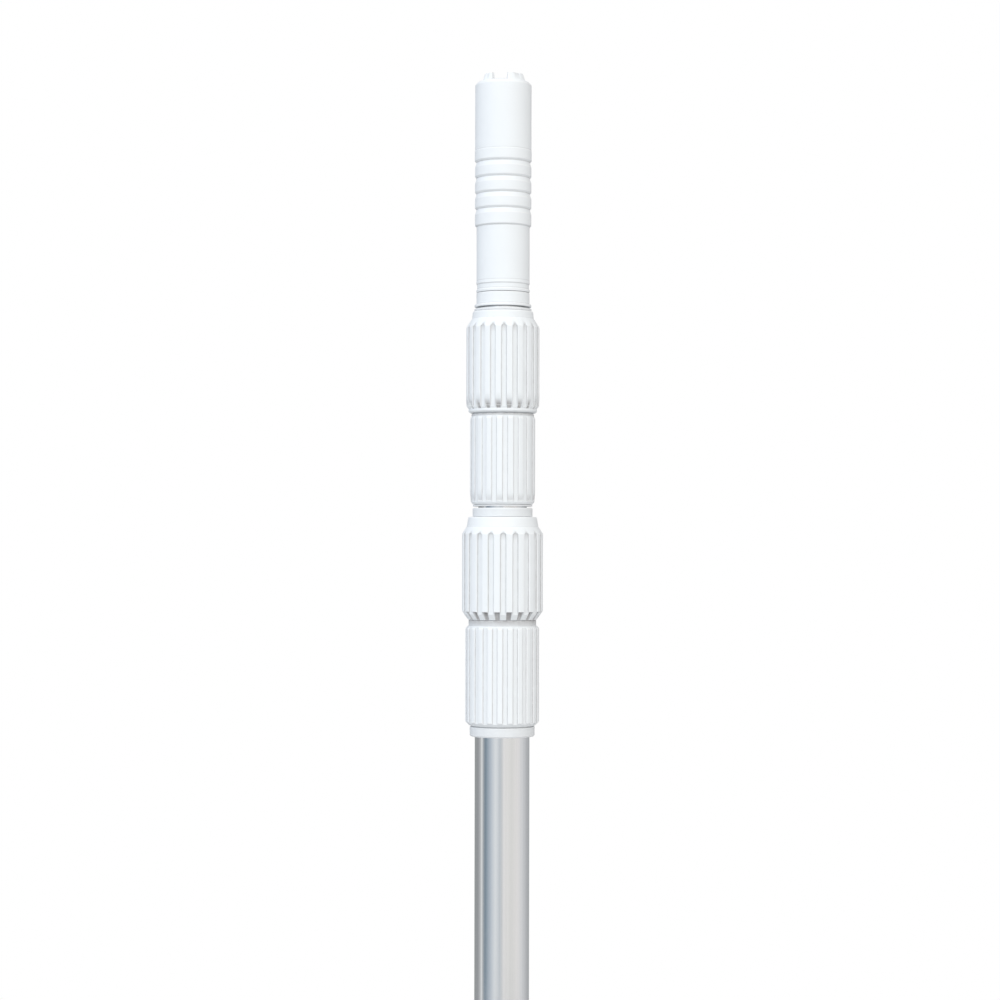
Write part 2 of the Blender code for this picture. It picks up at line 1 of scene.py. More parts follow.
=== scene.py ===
"""Looks of a telescopic window-cleaning pole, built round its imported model.

Three drawn aluminium tubes slide in one another.  Two twist locks join them, each
a ribbed collar on the larger tube and a ribbed nut that screws down on it.  The
inner tube ends in a grip sleeve and a castellated crown that takes the cleaning
tool.  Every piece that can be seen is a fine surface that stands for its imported
node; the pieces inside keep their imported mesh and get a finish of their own.

Lengths are millimetres, and heights are measured from the butt.  Angles round the
pole are degrees from the facing side (-Y) towards +X.
"""

import json
import logging
import math
from collections.abc import Sequence
from dataclasses import dataclass, replace
from enum import Enum

import bpy
import numpy as np
from mathutils import Matrix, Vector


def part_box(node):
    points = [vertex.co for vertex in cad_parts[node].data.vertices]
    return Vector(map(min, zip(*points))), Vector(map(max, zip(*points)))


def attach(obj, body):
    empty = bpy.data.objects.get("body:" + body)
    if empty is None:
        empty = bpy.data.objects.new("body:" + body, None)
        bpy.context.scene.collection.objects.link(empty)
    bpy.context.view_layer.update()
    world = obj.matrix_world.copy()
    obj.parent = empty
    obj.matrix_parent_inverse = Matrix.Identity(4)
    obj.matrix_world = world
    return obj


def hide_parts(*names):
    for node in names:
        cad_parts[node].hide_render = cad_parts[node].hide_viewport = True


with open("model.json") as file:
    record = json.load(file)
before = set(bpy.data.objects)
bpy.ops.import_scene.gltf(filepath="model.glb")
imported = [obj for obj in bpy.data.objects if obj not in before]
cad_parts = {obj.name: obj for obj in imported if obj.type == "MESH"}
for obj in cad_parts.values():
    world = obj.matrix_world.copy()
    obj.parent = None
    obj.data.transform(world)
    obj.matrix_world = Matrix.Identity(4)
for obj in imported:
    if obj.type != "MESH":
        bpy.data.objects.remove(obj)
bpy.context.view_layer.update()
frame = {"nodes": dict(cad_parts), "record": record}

log = logging.getLogger("pole")

Colour = tuple[float, float, float]
Socket = bpy.types.NodeSocket
Value = Socket | float | tuple
Corner = tuple[float, ...]     # radius, height and, unless it is the usual one, rounding

MM = 0.001
CLEAR = 0.3                    # gap between two pieces that touch
FULL_TURN = 2.0 * math.pi

# how dark the painted shade in each kind of hollow is, from 0 to 1
CORNER_SHADE = 0.35            # inner corners of a section
WALL_SHADE = 0.6               # feet of the groove walls
FLOOR_SHADE = 0.06             # groove floors
END_SHADE = 0.3                # upper ends of the grooves
END_REACH = (3.4, 1.6)         # how far below a groove's end that shade begins and is full
GRIP_CORNER_SHADE = 0.4 * CORNER_SHADE         # inner corners of a ribbed grip's section
POCKET_SHADE = 0.85            # hollows under the ribs
SKIRT_SHADE = 0.16             # skirts and lips in the shadow of a grip
NECK_SHADES = (0.3, 0.8)       # band between a collar and its nut, at its foot and at its top

RUN_OUT = 20.0                 # how far a groove with no rounded end runs past the grip
COARSE_STEP = 4.0              # longest step along the plain part of a grip
SOFT_WALL = (0.1, 0.6)         # shares of a groove between which its wall darkens
WALL_FOOT = (1.0, 0.8)         # shares between which that dark fades on the floor
# a rib's worn edge is painted paler, partly as a highlight
RIB_EDGE = ((0.0, 0.12), (0.6, 0.2))           # shares between which a rib's worn edge comes and goes

BODY_OF = {node: body for body, nodes in frame["record"]["behaviour"]["bodies"].items() for node in nodes}


class Slot(Enum):
    """Material slots of the record."""

    WHITE_PLASTIC = "white_plastic"
    SATIN_ALUMINIUM = "satin_aluminium"
    NATURAL_NYLON = "natural_nylon"
    STEEL = "steel"
    BLACK_RUBBER = "black_rubber"


class Mask(Enum):
    """Vertex attributes that the finishes read: worn edges painted paler, partly as a highlight, and painted
    shade in hollows and corners.
    """

    # worn edges, painted paler partly as a highlight
    EDGE = "worn_edge"
    # painted shade in inner corners, groove feet and ends, pockets and necks
    HOLLOW_SHADE = "hollow"


class SocketKind(Enum):
    """Kinds of socket on a shader node group."""

    VALUE = "NodeSocketFloat"
    COLOUR = "NodeSocketColor"
    VECTOR = "NodeSocketVector"

    @classmethod
    def of(cls, key: str) -> "SocketKind":
        """Kind of the socket with a name: Place is a vector, and colours end in Colour."""
        return cls.VECTOR if key == "Place" else cls.COLOUR if key.endswith("Colour") else cls.VALUE


# ---- surfaces -------------------------------------------------------------------


def ease(low: float, high: float, value: np.ndarray) -> np.ndarray:
    """Rise from 0 at low to 1 at high: with t the share of the way, three t squared less two t cubed."""
    share = np.clip((value - low) / (high - low), 0.0, 1.0)
    return share * share * (3.0 - 2.0 * share)


@dataclass(frozen=True)
class Span:
    """Lowest point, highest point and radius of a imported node."""

    low: float
    high: float
    radius: float

    @classmethod
    def of(cls, node: str) -> "Span":
        """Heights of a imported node, and its reach from the pole's axis."""
        low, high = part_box(node)
        return cls(low.z / MM, high.z / MM, high.x / MM)


@dataclass(frozen=True)
class Path:
    """Points (radius, height) along a section, with the painted highlight of its worn corners and the painted
    shade of its inner ones.
    """

    points: np.ndarray
    edge: np.ndarray
    hollow: np.ndarray
    closed: bool

    def shaded(self, shade: float) -> "Path":
        """The same path, its painted shade nowhere lighter than a given shade."""
        return replace(self, hollow=np.maximum(self.hollow, shade))

    def finer(self, coarse: float, fine: float = 0.0,
              zones: Sequence[tuple[float, float]] = ()) -> "Path":
        """Split long stretches, so that no step is longer than asked.

        A stretch of length l is cut into l / step equal parts, rounded up, and
        everything known at its two ends is shared out in proportion.

        Args:
            coarse: longest step outside the zones.
            fine: longest step inside them.
            zones: (lowest, highest) heights of the zones.

        Returns:
            The same outline with more points.
        """
        known = np.column_stack((self.points, self.edge, self.hollow))
        after = np.roll(known, -1, axis=0)
        middle = 0.5 * (known[:, 1] + after[:, 1])
        inside = np.zeros(len(known), bool)
        for low, high in zones:
            inside |= (middle > low) & (middle < high)
        step = np.where(inside, fine or coarse, coarse)
        parts = np.maximum(np.ceil(np.hypot(*(after - known)[:, :2].T) / step - 1e-6), 1).astype(int)
        if not self.closed:
            parts[-1] = 1
        source = np.repeat(np.arange(len(known)), parts)
        first = np.repeat(np.cumsum(parts) - parts, parts)
        share = ((np.arange(len(source)) - first) / parts[source])[:, None]
        split = known[source] * (1.0 - share) + after[source] * share
        return Path(split[:, :2], split[:, 2], split[:, 3], self.closed)


@dataclass(frozen=True)
class Section:
    """Outline of a turned piece, in the half-plane of radius and height.

    A closed section surrounds a bore.  An open one begins and ends on the axis.
    """

    corners: tuple[Corner, ...]
    closed: bool = True
    arc_steps: int = 5
    support: float = 0.25
    usual_round: float = 0.25
    # how dark the painted shade in the inner corners is
    corner_shade: float = 1.0

    def path(self) -> Path:
        """Round every corner with an arc that touches both of its sides.

        The arc meets a side at the fillet radius over the tangent of half the
        corner's angle, never past 45% of the side.  It is swept by turning the
        radius at one end into the radius at the other in equal angles.  One more
        point stands on each side beside the arc, so the flat shades flat.

        Returns:
            The rounded outline; convex arcs are worn edges with a painted highlight, the others get painted
            shade.
        """
        corner = np.array([place[:2] for place in self.corners])
        fillet = np.array([(*place, self.usual_round)[2] for place in self.corners])
        back, ahead = np.roll(corner, 1, axis=0) - corner, np.roll(corner, -1, axis=0) - corner
        back_len, ahead_len = np.hypot(*back.T), np.hypot(*ahead.T)
        back, ahead = back / back_len[:, None], ahead / ahead_len[:, None]
        opening = np.arccos(np.clip((back * ahead).sum(axis=1), -1.0, 1.0))
        reach = np.minimum(fillet / np.tan(opening / 2), 0.45 * np.minimum(back_len, ahead_len))
        inward = back + ahead
        inward /= np.maximum(np.hypot(*inward.T), 1e-9)[:, None]
        centre = corner + inward * (reach / np.cos(opening / 2))[:, None]
        start = corner + back * reach[:, None] - centre
        end = corner + ahead * reach[:, None] - centre
        sweep = (math.pi - opening)[:, None, None]
        share = np.linspace(0.0, 1.0, self.arc_steps + 1)[None, :, None]
        arc = (np.sin((1.0 - share) * sweep) * start[:, None] + np.sin(share * sweep) * end[:, None])
        arc = centre[:, None] + arc / np.maximum(np.sin(sweep), 1e-9)

        spare = ahead_len - reach - np.roll(reach, -1)
        step = np.minimum(self.support, 0.3 * spare)
        before = corner + back * (reach + np.roll(step, 1))[:, None]
        beyond = corner + ahead * (reach + step)[:, None]
        rows = np.concatenate((before[:, None], arc, beyond[:, None]), axis=1)

        turn = back[:, 0] * ahead[:, 1] - back[:, 1] * ahead[:, 0]
        following = np.roll(corner, -1, axis=0)
        area = (corner[:, 0] * following[:, 1] - following[:, 0] * corner[:, 1]).sum()
        convex = turn * area < 0.0
        swell = np.concatenate(([0.0], np.ones(self.arc_steps + 1), [0.0]))[None, :]
        # convex arcs carry the worn-edge mask, painted paler partly as a highlight; the inner ones carry
        # painted shade
        edge = swell * convex[:, None]
        hollow = swell * ~convex[:, None] * self.corner_shade
        if self.closed:
            return Path(rows.reshape(-1, 2), edge.ravel(), hollow.ravel(), True)
        points = np.concatenate((corner[:1], rows[1:-1].reshape(-1, 2), corner[-1:]))
        ends = np.zeros(1)
        return Path(points, np.concatenate((ends, edge[1:-1].ravel(), ends)),
                    np.concatenate((ends, hollow[1:-1].ravel(), ends)), False)


def grid(rows: int, columns: int, closed: bool) -> np.ndarray:
    """Faces between the rows of a grid that goes round the pole.

    Point k of row j has the number j times the columns, plus k.

    Args:
        rows: number of rows.
        columns: number of columns; the last one joins the first.
        closed: whether the last row joins the first too.

    Returns:
        Four corner numbers for every face.
    """
    k = np.arange(columns)
    following = (k + 1) % columns
    first = np.arange(rows if closed else rows - 1)[:, None]
    low, high = first * columns, (first + 1) % rows * columns
    return np.stack((low + k, low + following, high + following, high + k), axis=-1).reshape(-1, 4)


def fan(pole: int, first: np.ndarray, second: np.ndarray) -> list[list[int]]:
    """Triangles from one point to each pair of corner numbers."""
    return np.stack((np.full(len(first), pole), first, second), axis=-1).tolist()


@dataclass(frozen=True)
class Surface:
    """Grid of points round the pole: rows along a section, columns round the axis."""

    points: np.ndarray
    edge: np.ndarray
    hollow: np.ndarray
    closed: bool

    def faces(self) -> list[list[int]]:
        """Join the grid's neighbours, and an open section's ends to a point at each pole.

        Returns:
            Corner numbers of every face.
        """
        columns, rows = self.points.shape[1], self.points.shape[0] - (0 if self.closed else 2)
        quads = grid(rows, columns, self.closed).tolist()
        if self.closed:
            return quads
        k, last = np.arange(columns), (rows - 1) * columns
        following = (k + 1) % columns
        low_fan = fan(rows * columns, following, k)
        return quads + low_fan + fan(rows * columns + 1, last + k, last + following)

    def listed(self, values: np.ndarray) -> np.ndarray:
        """List a value of each point, row by row; the poles of an open section come last.

        Args:
            values: the grid's values, row by column.

        Returns:
            One value for each point of the mesh.
        """
        if self.closed:
            return values.reshape(-1, *values.shape[2:])
        return np.concatenate((values[1:-1].reshape(-1, *values.shape[2:]), values[[0, -1], 0]))

    def mesh(self, name: str) -> bpy.types.Mesh:
        """Make the closed mesh, with its faces outward and its masks as attributes.

        Args:
            name: name of the mesh.

        Returns:
            A mesh in metres.
        """
        mesh = bpy.data.meshes.new(name)
        mesh.from_pydata(self.listed(self.points) * MM, [], self.faces())
        if self.volume(mesh) < 0.0:
            mesh.flip_normals()
        mesh.shade_smooth()
        for mask, values in ((Mask.EDGE, self.edge), (Mask.HOLLOW_SHADE, self.hollow)):
            attribute = mesh.attributes.new(mask.value, "FLOAT", "POINT")
            attribute.data.foreach_set("value", self.listed(values).astype(np.float32))
        mesh.update()
        return mesh

    @staticmethod
    def volume(mesh: bpy.types.Mesh) -> float:
        """Volume inside a closed mesh, negative if its faces point inward.

        It is the sum, over the triangles, of a sixth of the corners' triple product.

        Args:
            mesh: closed mesh.

        Returns:
            Cubic metres.
        """
        mesh.calc_loop_triangles()
        corners = np.empty(len(mesh.loop_triangles) * 3, np.int32)
        mesh.loop_triangles.foreach_get("vertices", corners)
        points = np.empty(len(mesh.vertices) * 3)
        mesh.vertices.foreach_get("co", points)
        a, b, c = points.reshape(-1, 3)[corners].reshape(-1, 3, 3).transpose(1, 0, 2)
        return float((np.cross(a, b) * c).sum() / 6.0)


def around(columns: int) -> np.ndarray:
    """Equal angles for the columns of a turned surface, in degrees."""
    return np.arange(columns) * 360.0 / columns


def turned(path: Path, angles: np.ndarray) -> Surface:
    """Turn a path round the pole's axis.

    At angle a from the facing side, a point of radius r has x equal to r times
    the sine of a, and y equal to minus r times its cosine.

    Args:
        path: section to turn; a radius may differ from column to column.
        angles: degrees of the columns.

    Returns:
        The turned surface.
    """
    radius, height = path.points[..., 0], path.points[..., 1]
    if radius.ndim == 1:
        radius, height = radius[:, None], height[:, None]
    turn = np.radians(angles)[None, :]
    shape = np.broadcast_shapes(radius.shape, turn.shape)
    x, y = radius * np.sin(turn), -radius * np.cos(turn)
    points = np.stack((x, y, np.broadcast_to(height, shape)), axis=-1)
    edge = path.edge if path.edge.ndim == 2 else path.edge[:, None]
    hollow = path.hollow if path.hollow.ndim == 2 else path.hollow[:, None]
    return Surface(points, np.broadcast_to(edge, shape), np.broadcast_to(hollow, shape), path.closed)


@dataclass(frozen=True)
class Ribs:
    """Grooves cut into a hand grip, which leave ribs between them."""

    count: int
    phase: float               # middle of one groove
    half_width: float          # from a groove's middle to the middle of its wall
    depth: float
    wall: float                # width of a wall, along the surface
    low: float                 # height of the groove's ends
    high: float

    def columns(self) -> np.ndarray:
        """Angles of the columns: many on the walls, few on floors and crests.

        Returns:
            Degrees, rising through one full turn.
        """
        parts = ((-0.15, 0.15, 4), (0.15, 0.36, 8), (0.36, 0.64, 4), (0.64, 0.85, 8))
        pitch = np.concatenate([np.linspace(start, end, steps + 1)[:-1] for start, end, steps in parts])
        return (((np.arange(self.count)[:, None] + pitch) * 360.0 / self.count) + self.phase).ravel()

    def offset(self, angles: np.ndarray, radius: float, half_pitch: bool = False) -> np.ndarray:
        """Distance along the surface from the nearest groove, or the nearest rib.

        Args:
            angles: degrees.
            radius: radius of the surface.
            half_pitch: whether to measure from the ribs' middles.

        Returns:
            Signed lengths.
        """
        pitch = 360.0 / self.count
        turn = (angles - self.phase) / pitch + (0.5 if half_pitch else 0.0)
        return (turn - np.round(turn)) * pitch * math.pi / 180.0 * radius

    def groove(self, angles: np.ndarray, heights: np.ndarray, radius: float) -> np.ndarray:
        """How much of the full depth is cut at each point.

        A groove is the set of points nearer than its half width to an upright
        line, so its ends are half circles; the cut eases in across the wall.

        Args:
            angles: degrees of the columns.
            heights: heights of the rows.
            radius: radius of the surface.

        Returns:
            Shares from 0 on a rib to 1 on the floor, row by column.
        """
        x = self.offset(angles, radius)[None, :]
        z = heights[:, None]
        past = np.maximum(z - (self.high - self.half_width), (self.low + self.half_width) - z)
        distance = np.hypot(x, np.maximum(past, 0.0)) - self.half_width
        return ease(0.5 * self.wall, -0.5 * self.wall, distance)


@dataclass(frozen=True)
class Pockets:
    """Hollows under the ribs of a grip, narrower at their lower end."""

    low: float
    high: float
    half_width_low: float
    half_width_high: float
    back_low: float            # radius of a hollow's back, at its lower end
    back_high: float
    # how dark the painted shade inside the hollows is
    shade: float = POCKET_SHADE
    wall: float = 0.35

    @classmethod
    def above(cls, level: float, sizes: Sequence[float]) -> "Pockets":
        """Hollows whose first two sizes are heights above a level."""
        return cls(level + sizes[0], level + sizes[1], *sizes[2:])

    def rise(self, heights: np.ndarray) -> np.ndarray:
        """Share of the way from the hollows' lower end to their upper end."""
        return np.clip((heights - self.low) / (self.high - self.low), 0.0, 1.0)

    def cut(self, ribs: Ribs, angles: np.ndarray, heights: np.ndarray, radius: float) -> np.ndarray:
        """Share of a hollow at each point.

        A point's distance is the greatest of three: how far it is beyond the
        hollow's half width at its height, above its upper end or below its lower.

        Args:
            ribs: ribs above the hollows.
            angles: degrees of the columns.
            heights: heights of the rows.
            radius: radius of the surface.

        Returns:
            Shares from 0 outside a hollow to 1 inside, row by column.
        """
        x = np.abs(ribs.offset(angles, radius, half_pitch=True))[None, :]
        z = heights[:, None]
        half = self.half_width_low + (self.half_width_high - self.half_width_low) * self.rise(z)
        distance = np.maximum(x - half, np.maximum(z - self.high, self.low - z))
        return ease(0.5 * self.wall, -0.5 * self.wall, distance)

    def back(self, heights: np.ndarray) -> np.ndarray:
        """Radius of a hollow's back at each height, on a straight line."""
        return (self.back_low + (self.back_high - self.back_low) * self.rise(heights))[:, None]


def ribbed(path: Path, ribs: Ribs, radius: float, pockets: Pockets | None = None,
           shades: Sequence[tuple[float, float, float, float]] = ()) -> Surface:
    """Turn a grip's section and cut its grooves and hollows.

    A point outside the groove's floor moves inward by the groove's share of its
    distance to that floor; hollows do the same with their back, and the deeper
    of the two counts.

    Args:
        path: section through a rib.
        ribs: grooves to cut.
        radius: radius of the ribs' crests.
        pockets: hollows under the ribs, if any.
        shades: bands of painted shade: heights, then shades, each low then high.

    Returns:
        The cut surface, with worn rib edges that carry a painted highlight, and painted shade at the groove
        feet and ends and in the hollows.
    """
    angles = ribs.columns()
    r, z = path.points[:, :1], path.points[:, 1]
    share = ribs.groove(angles, z, radius)
    outside = np.maximum(r - (radius - ribs.depth), 0.0)
    cut = share * outside
    open_share = np.clip(outside / ribs.depth, 0.0, 1.0)
    # worn rib edges near the groove rims, painted paler partly as a highlight
    edge = ease(*RIB_EDGE[0], share) * ease(*RIB_EDGE[1], share) * open_share
    # painted shade on the groove walls' feet and floors, and at the grooves' upper ends
    foot = ease(*SOFT_WALL, share) * (FLOOR_SHADE + (WALL_SHADE - FLOOR_SHADE) * ease(*WALL_FOOT, share))
    near_end = ease(ribs.high - END_REACH[0], ribs.high - END_REACH[1], z)[:, None]
    end = END_SHADE * ease(0.2, 0.8, share) * near_end
    hollow = np.maximum(foot, end) * open_share
    if pockets is not None:
        sunk = pockets.cut(ribs, angles, z, radius)
        room = np.maximum(r - pockets.back(z), 0.0)
        cut = np.maximum(cut, sunk * room)
        deep = sunk * np.clip(room, 0.0, 1.0)
        # painted shade inside the hollows under the ribs
        hollow = np.maximum(hollow, pockets.shade * deep)
        edge = edge * (1.0 - deep)
    points = np.stack((r - cut, np.broadcast_to(z[:, None], cut.shape)), axis=-1)
    edge = np.maximum(edge, path.edge[:, None] * (1.0 - share))
    # painted shade in the section's inner corners
    hollow = np.maximum(hollow, GRIP_CORNER_SHADE * path.hollow[:, None])
    # bands of painted shade, such as a collar's neck
    for low, high, low_shade, high_shade in shades:
        rise = np.clip((z - low) / (high - low), 0.0, 1.0)
        shade = np.where((z > low) & (z < high), low_shade + (high_shade - low_shade) * rise, 0.0)
        hollow = np.maximum(hollow, shade[:, None])
    return turned(Path(points, edge, hollow, path.closed), angles)


# ---- shader nodes ---------------------------------------------------------------


class Nodes:
    """Short way to add and join the nodes of one tree."""

    MIX_INPUTS = (0, 6, 7)     # the share and the two colours of a mix node
    MIX_OUTPUT = 2
    RAMP_INPUTS = ("Value", "From Min", "To Min", "From Max", "To Max")

    def __init__(self, tree: bpy.types.NodeTree) -> None:
        """Work on a tree."""
        self.tree = tree

    def add(self, kind: str, inputs: dict[str | int, Value] | None = None,
            **settings: object) -> bpy.types.Node:
        """Add a node.

        Args:
            kind: Blender's name of the node's type.
            inputs: a value or another node's output for each named input.
            settings: the node's own properties.

        Returns:
            The new node.
        """
        node = self.tree.nodes.new(kind)
        for key, value in settings.items():
            setattr(node, key, value)
        for key, value in (inputs or {}).items():
            self.feed(node, key, value)
        return node

    def feed(self, node: bpy.types.Node, key: str | int, value: Value) -> None:
        """Give one input a value or another node's output.

        Args:
            node: node to feed.
            key: name or number of the input.
            value: number, tuple or output.
        """
        if isinstance(value, Socket):
            self.tree.links.new(value, node.inputs[key])
        else:
            node.inputs[key].default_value = value

    def math(self, operation: str, *values: Value) -> Socket:
        """Result of an operation on one to three numbers."""
        return self.add("ShaderNodeMath", dict(enumerate(values)), operation=operation).outputs[0]

    def mix(self, share: Value, first: Value, second: Value) -> Socket:
        """Mix two colours.

        Args:
            share: how much of the second.
            first: first colour.
            second: second colour.

        Returns:
            The mixed colour.
        """
        node = self.add("ShaderNodeMix", data_type="RGBA")
        for key, value in zip(self.MIX_INPUTS, (share, first, second)):
            self.feed(node, key, opaque(value))
        return node.outputs[self.MIX_OUTPUT]

    def ramp(self, value: Value, start: tuple[float, float], end: tuple[float, float]) -> Socket:
        """Ease a number from one (input, output) pair to another."""
        inputs = dict(zip(self.RAMP_INPUTS, (value, start[0], start[1], end[0], end[1])))
        return self.add("ShaderNodeMapRange", inputs, interpolation_type="SMOOTHSTEP").outputs[0]

    def noise(self, place: Socket, scale: Value, detail: float = 2.0,
              roughness: float = 0.5) -> Socket:
        """Noise from 0 to 1 over a place."""
        inputs = {"Vector": place, "Scale": scale, "Detail": detail, "Roughness": roughness}
        return self.add("ShaderNodeTexNoise", inputs).outputs[0]

    def stretched(self, place: Socket, scale: Colour) -> Socket:
        """Place scaled along each axis."""
        return self.add("ShaderNodeMapping", {"Vector": place, "Scale": scale}).outputs[0]

    def colours(self, share: Socket, stops: Sequence[tuple[float, Colour]]) -> Socket:
        """Colour along a row of stops.

        Args:
            share: place along the row, from 0 to 1.
            stops: (place, colour) of each stop, in order.

        Returns:
            The colour there.
        """
        node = self.add("ShaderNodeValToRGB", {0: share})
        row = node.color_ramp
        while len(row.elements) < len(stops):
            row.elements.new(1.0)
        for element, (position, colour) in zip(row.elements, stops):
            element.position = position
            element.color = opaque(colour)
        return node.outputs[0]


def opaque(colour: Value) -> tuple:
    """Colour with full alpha; a socket or a number stays as it is."""
    return (*colour, 1.0) if isinstance(colour, tuple) and len(colour) == 3 else colour


class Effect:
    """Shader node group with named inputs and outputs, built once."""

    def __init__(self, name: str, inputs: dict[str, Value], outputs: Sequence[str]) -> None:
        """Make the empty group, whose first input is the place on the piece.

        Args:
            name: name of the group.
            inputs: usual value of each further input.
            outputs: names of the outputs.
        """
        self.group = bpy.data.node_groups.new(name, "ShaderNodeTree")
        for key, usual in {"Place": (0.0, 0.0, 0.0), **inputs}.items():
            kind = SocketKind.of(key)
            socket = self.group.interface.new_socket(name=key, in_out="INPUT", socket_type=kind.value)
            socket.default_value = opaque(usual) if kind is SocketKind.COLOUR else usual
        for key in outputs:
            kind = SocketKind.of(key)
            self.group.interface.new_socket(name=key, in_out="OUTPUT", socket_type=kind.value)
        self.nodes = Nodes(self.group)
        self.given = self.nodes.add("NodeGroupInput").outputs

    def give(self, results: dict[str, Socket]) -> "Effect":
        """Join the results to the group's outputs."""
        self.nodes.add("NodeGroupOutput", results)
        return self

    def use(self, nodes: Nodes, inputs: dict[str, Value]) -> bpy.types.NodeOutputs:
        """Place the group in a material.

        Args:
            nodes: the material's nodes.
            inputs: this material's own values.

        Returns:
            The group's outputs.
        """
        node = nodes.add("ShaderNodeGroup", node_tree=self.group)
        for key, value in inputs.items():
            nodes.feed(node, key, opaque(value))
        return node.outputs


class Effects:
    """The shared effects: mould grain, worn edges with a painted highlight and painted shade in hollows,
    drawn lines, handling marks.
    """

    def __init__(self) -> None:
        """Build each group once."""
        self.grain = self.mould_grain()
        self.edges_and_shade = self.worn_edges_and_painted_shade()
        self.lines = self.drawn_lines()
        self.marks = self.handling_marks()

    @staticmethod
    def mould_grain() -> Effect:
        """Fine texture that a mould leaves, and slow changes of tone.

        Returns:
            Group with the texture's height and the tone, both about one half.
        """
        effect = Effect("mould_grain", {"Scale": 2200.0, "Tone Scale": 45.0}, ("Height", "Tone"))
        nodes, given = effect.nodes, effect.given
        fine = nodes.noise(given["Place"], given["Scale"], 3.0, 0.6)
        coarse = nodes.noise(given["Place"], nodes.math("MULTIPLY", given["Scale"], 0.17), 2.0)
        height = nodes.math("MULTIPLY_ADD", coarse, 0.4, nodes.math("MULTIPLY", fine, 0.6))
        tone = nodes.noise(given["Place"], given["Tone Scale"], 2.0, 0.4)
        return effect.give({"Height": height, "Tone": tone})

    @staticmethod
    def worn_edges_and_painted_shade() -> Effect:
        """Paler edges, worn and partly a painted highlight, and painted shade in hollows, broken up by noise.

        Returns:
            Group with the new colour and both masks.
        """
        effect = Effect("worn_edges_and_painted_shade",
                        {"Colour": (0.8, 0.8, 0.8), "Edge Highlight Colour": (0.9, 0.9, 0.9),
                         "Hollow Shade Colour": (0.4, 0.38, 0.36), "Edge Amount": 0.5, "Hollow Shade Amount": 0.3,
                         "Scale": 160.0}, ("Colour", "Edge", "Hollow"))
        nodes, given = effect.nodes, effect.given
        noise = nodes.noise(given["Place"], given["Scale"], 4.0, 0.6)
        patches = nodes.ramp(noise, (0.35, 0.75), (0.65, 1.0))
        masks = []
        for mask, amount in ((Mask.EDGE, "Edge Amount"), (Mask.HOLLOW_SHADE, "Hollow Shade Amount")):
            share = nodes.add("ShaderNodeAttribute", attribute_name=mask.value).outputs["Fac"]
            masks.append(nodes.math("MULTIPLY", nodes.math("MULTIPLY", share, patches), given[amount]))
        edge, hollow = masks
        # painted shade mixed in where the hollow mask is, then the paler edge, partly a painted highlight
        shade_painted = nodes.mix(hollow, given["Colour"], given["Hollow Shade Colour"])
        return effect.give({"Colour": nodes.mix(edge, shade_painted, given["Edge Highlight Colour"]),
                            "Edge": edge, "Hollow": hollow})

    @staticmethod
    def drawn_lines() -> Effect:
        """Lines along the pole that a drawing die leaves.

        Returns:
            Group with the lines' tone and height, both about one half.
        """
        effect = Effect("drawn_lines", {"Scale": 900.0}, ("Tone", "Height"))
        nodes, given = effect.nodes, effect.given
        along = nodes.stretched(given["Place"], (1.0, 1.0, 0.004))
        broad = nodes.noise(along, nodes.math("MULTIPLY", given["Scale"], 0.18), 2.0)
        fine = nodes.noise(along, given["Scale"], 3.0, 0.6)
        tone = nodes.math("MULTIPLY_ADD", broad, 0.6, nodes.math("MULTIPLY", fine, 0.4))
        return effect.give({"Tone": tone, "Height": fine})

    @staticmethod
    def handling_marks() -> Effect:
        """Duller and shinier patches where hands have been.

        Returns:
            Group with the roughness, round about the one given.
        """
        effect = Effect("handling_marks", {"Scale": 40.0, "Roughness": 0.4, "Change": 0.08}, ("Roughness",))
        nodes, given = effect.nodes, effect.given
        patch = nodes.math("SUBTRACT", nodes.noise(given["Place"], given["Scale"], 5.0, 0.65), 0.5)
        shift = nodes.math("MULTIPLY", patch, nodes.math("MULTIPLY", given["Change"], 2.0))
        return effect.give({"Roughness": nodes.math("ADD", given["Roughness"], shift)})


EFFECTS = Effects()


# ---- finishes -------------------------------------------------------------------


@dataclass(frozen=True)
class Finish:
    """What every finish says: a name, the record's slot, a colour and a gloss."""

    name: str
    slot: Slot
    colour: Colour
    roughness: float

    def start(self) -> tuple[bpy.types.Material, Nodes, bpy.types.Node, Socket]:
        """Make the material and its main shader.

        Returns:
            The material, its nodes, the Principled shader and the piece's place.
        """
        material = bpy.data.materials.new(self.name)
        material.use_nodes = True
        nodes = Nodes(material.node_tree)
        shader = material.node_tree.nodes["Principled BSDF"]
        place = nodes.add("ShaderNodeTexCoord").outputs["Object"]
        return material, nodes, shader, place

    def join(self, nodes: Nodes, shader: bpy.types.Node, height: Socket, depth: float) -> None:
        """Give the shader a bump, as deep where the height is 1 as depth says."""
        bump = nodes.add("ShaderNodeBump", {"Height": height, "Distance": depth * MM, "Strength": 1.0})
        nodes.tree.links.new(bump.outputs["Normal"], shader.inputs["Normal"])


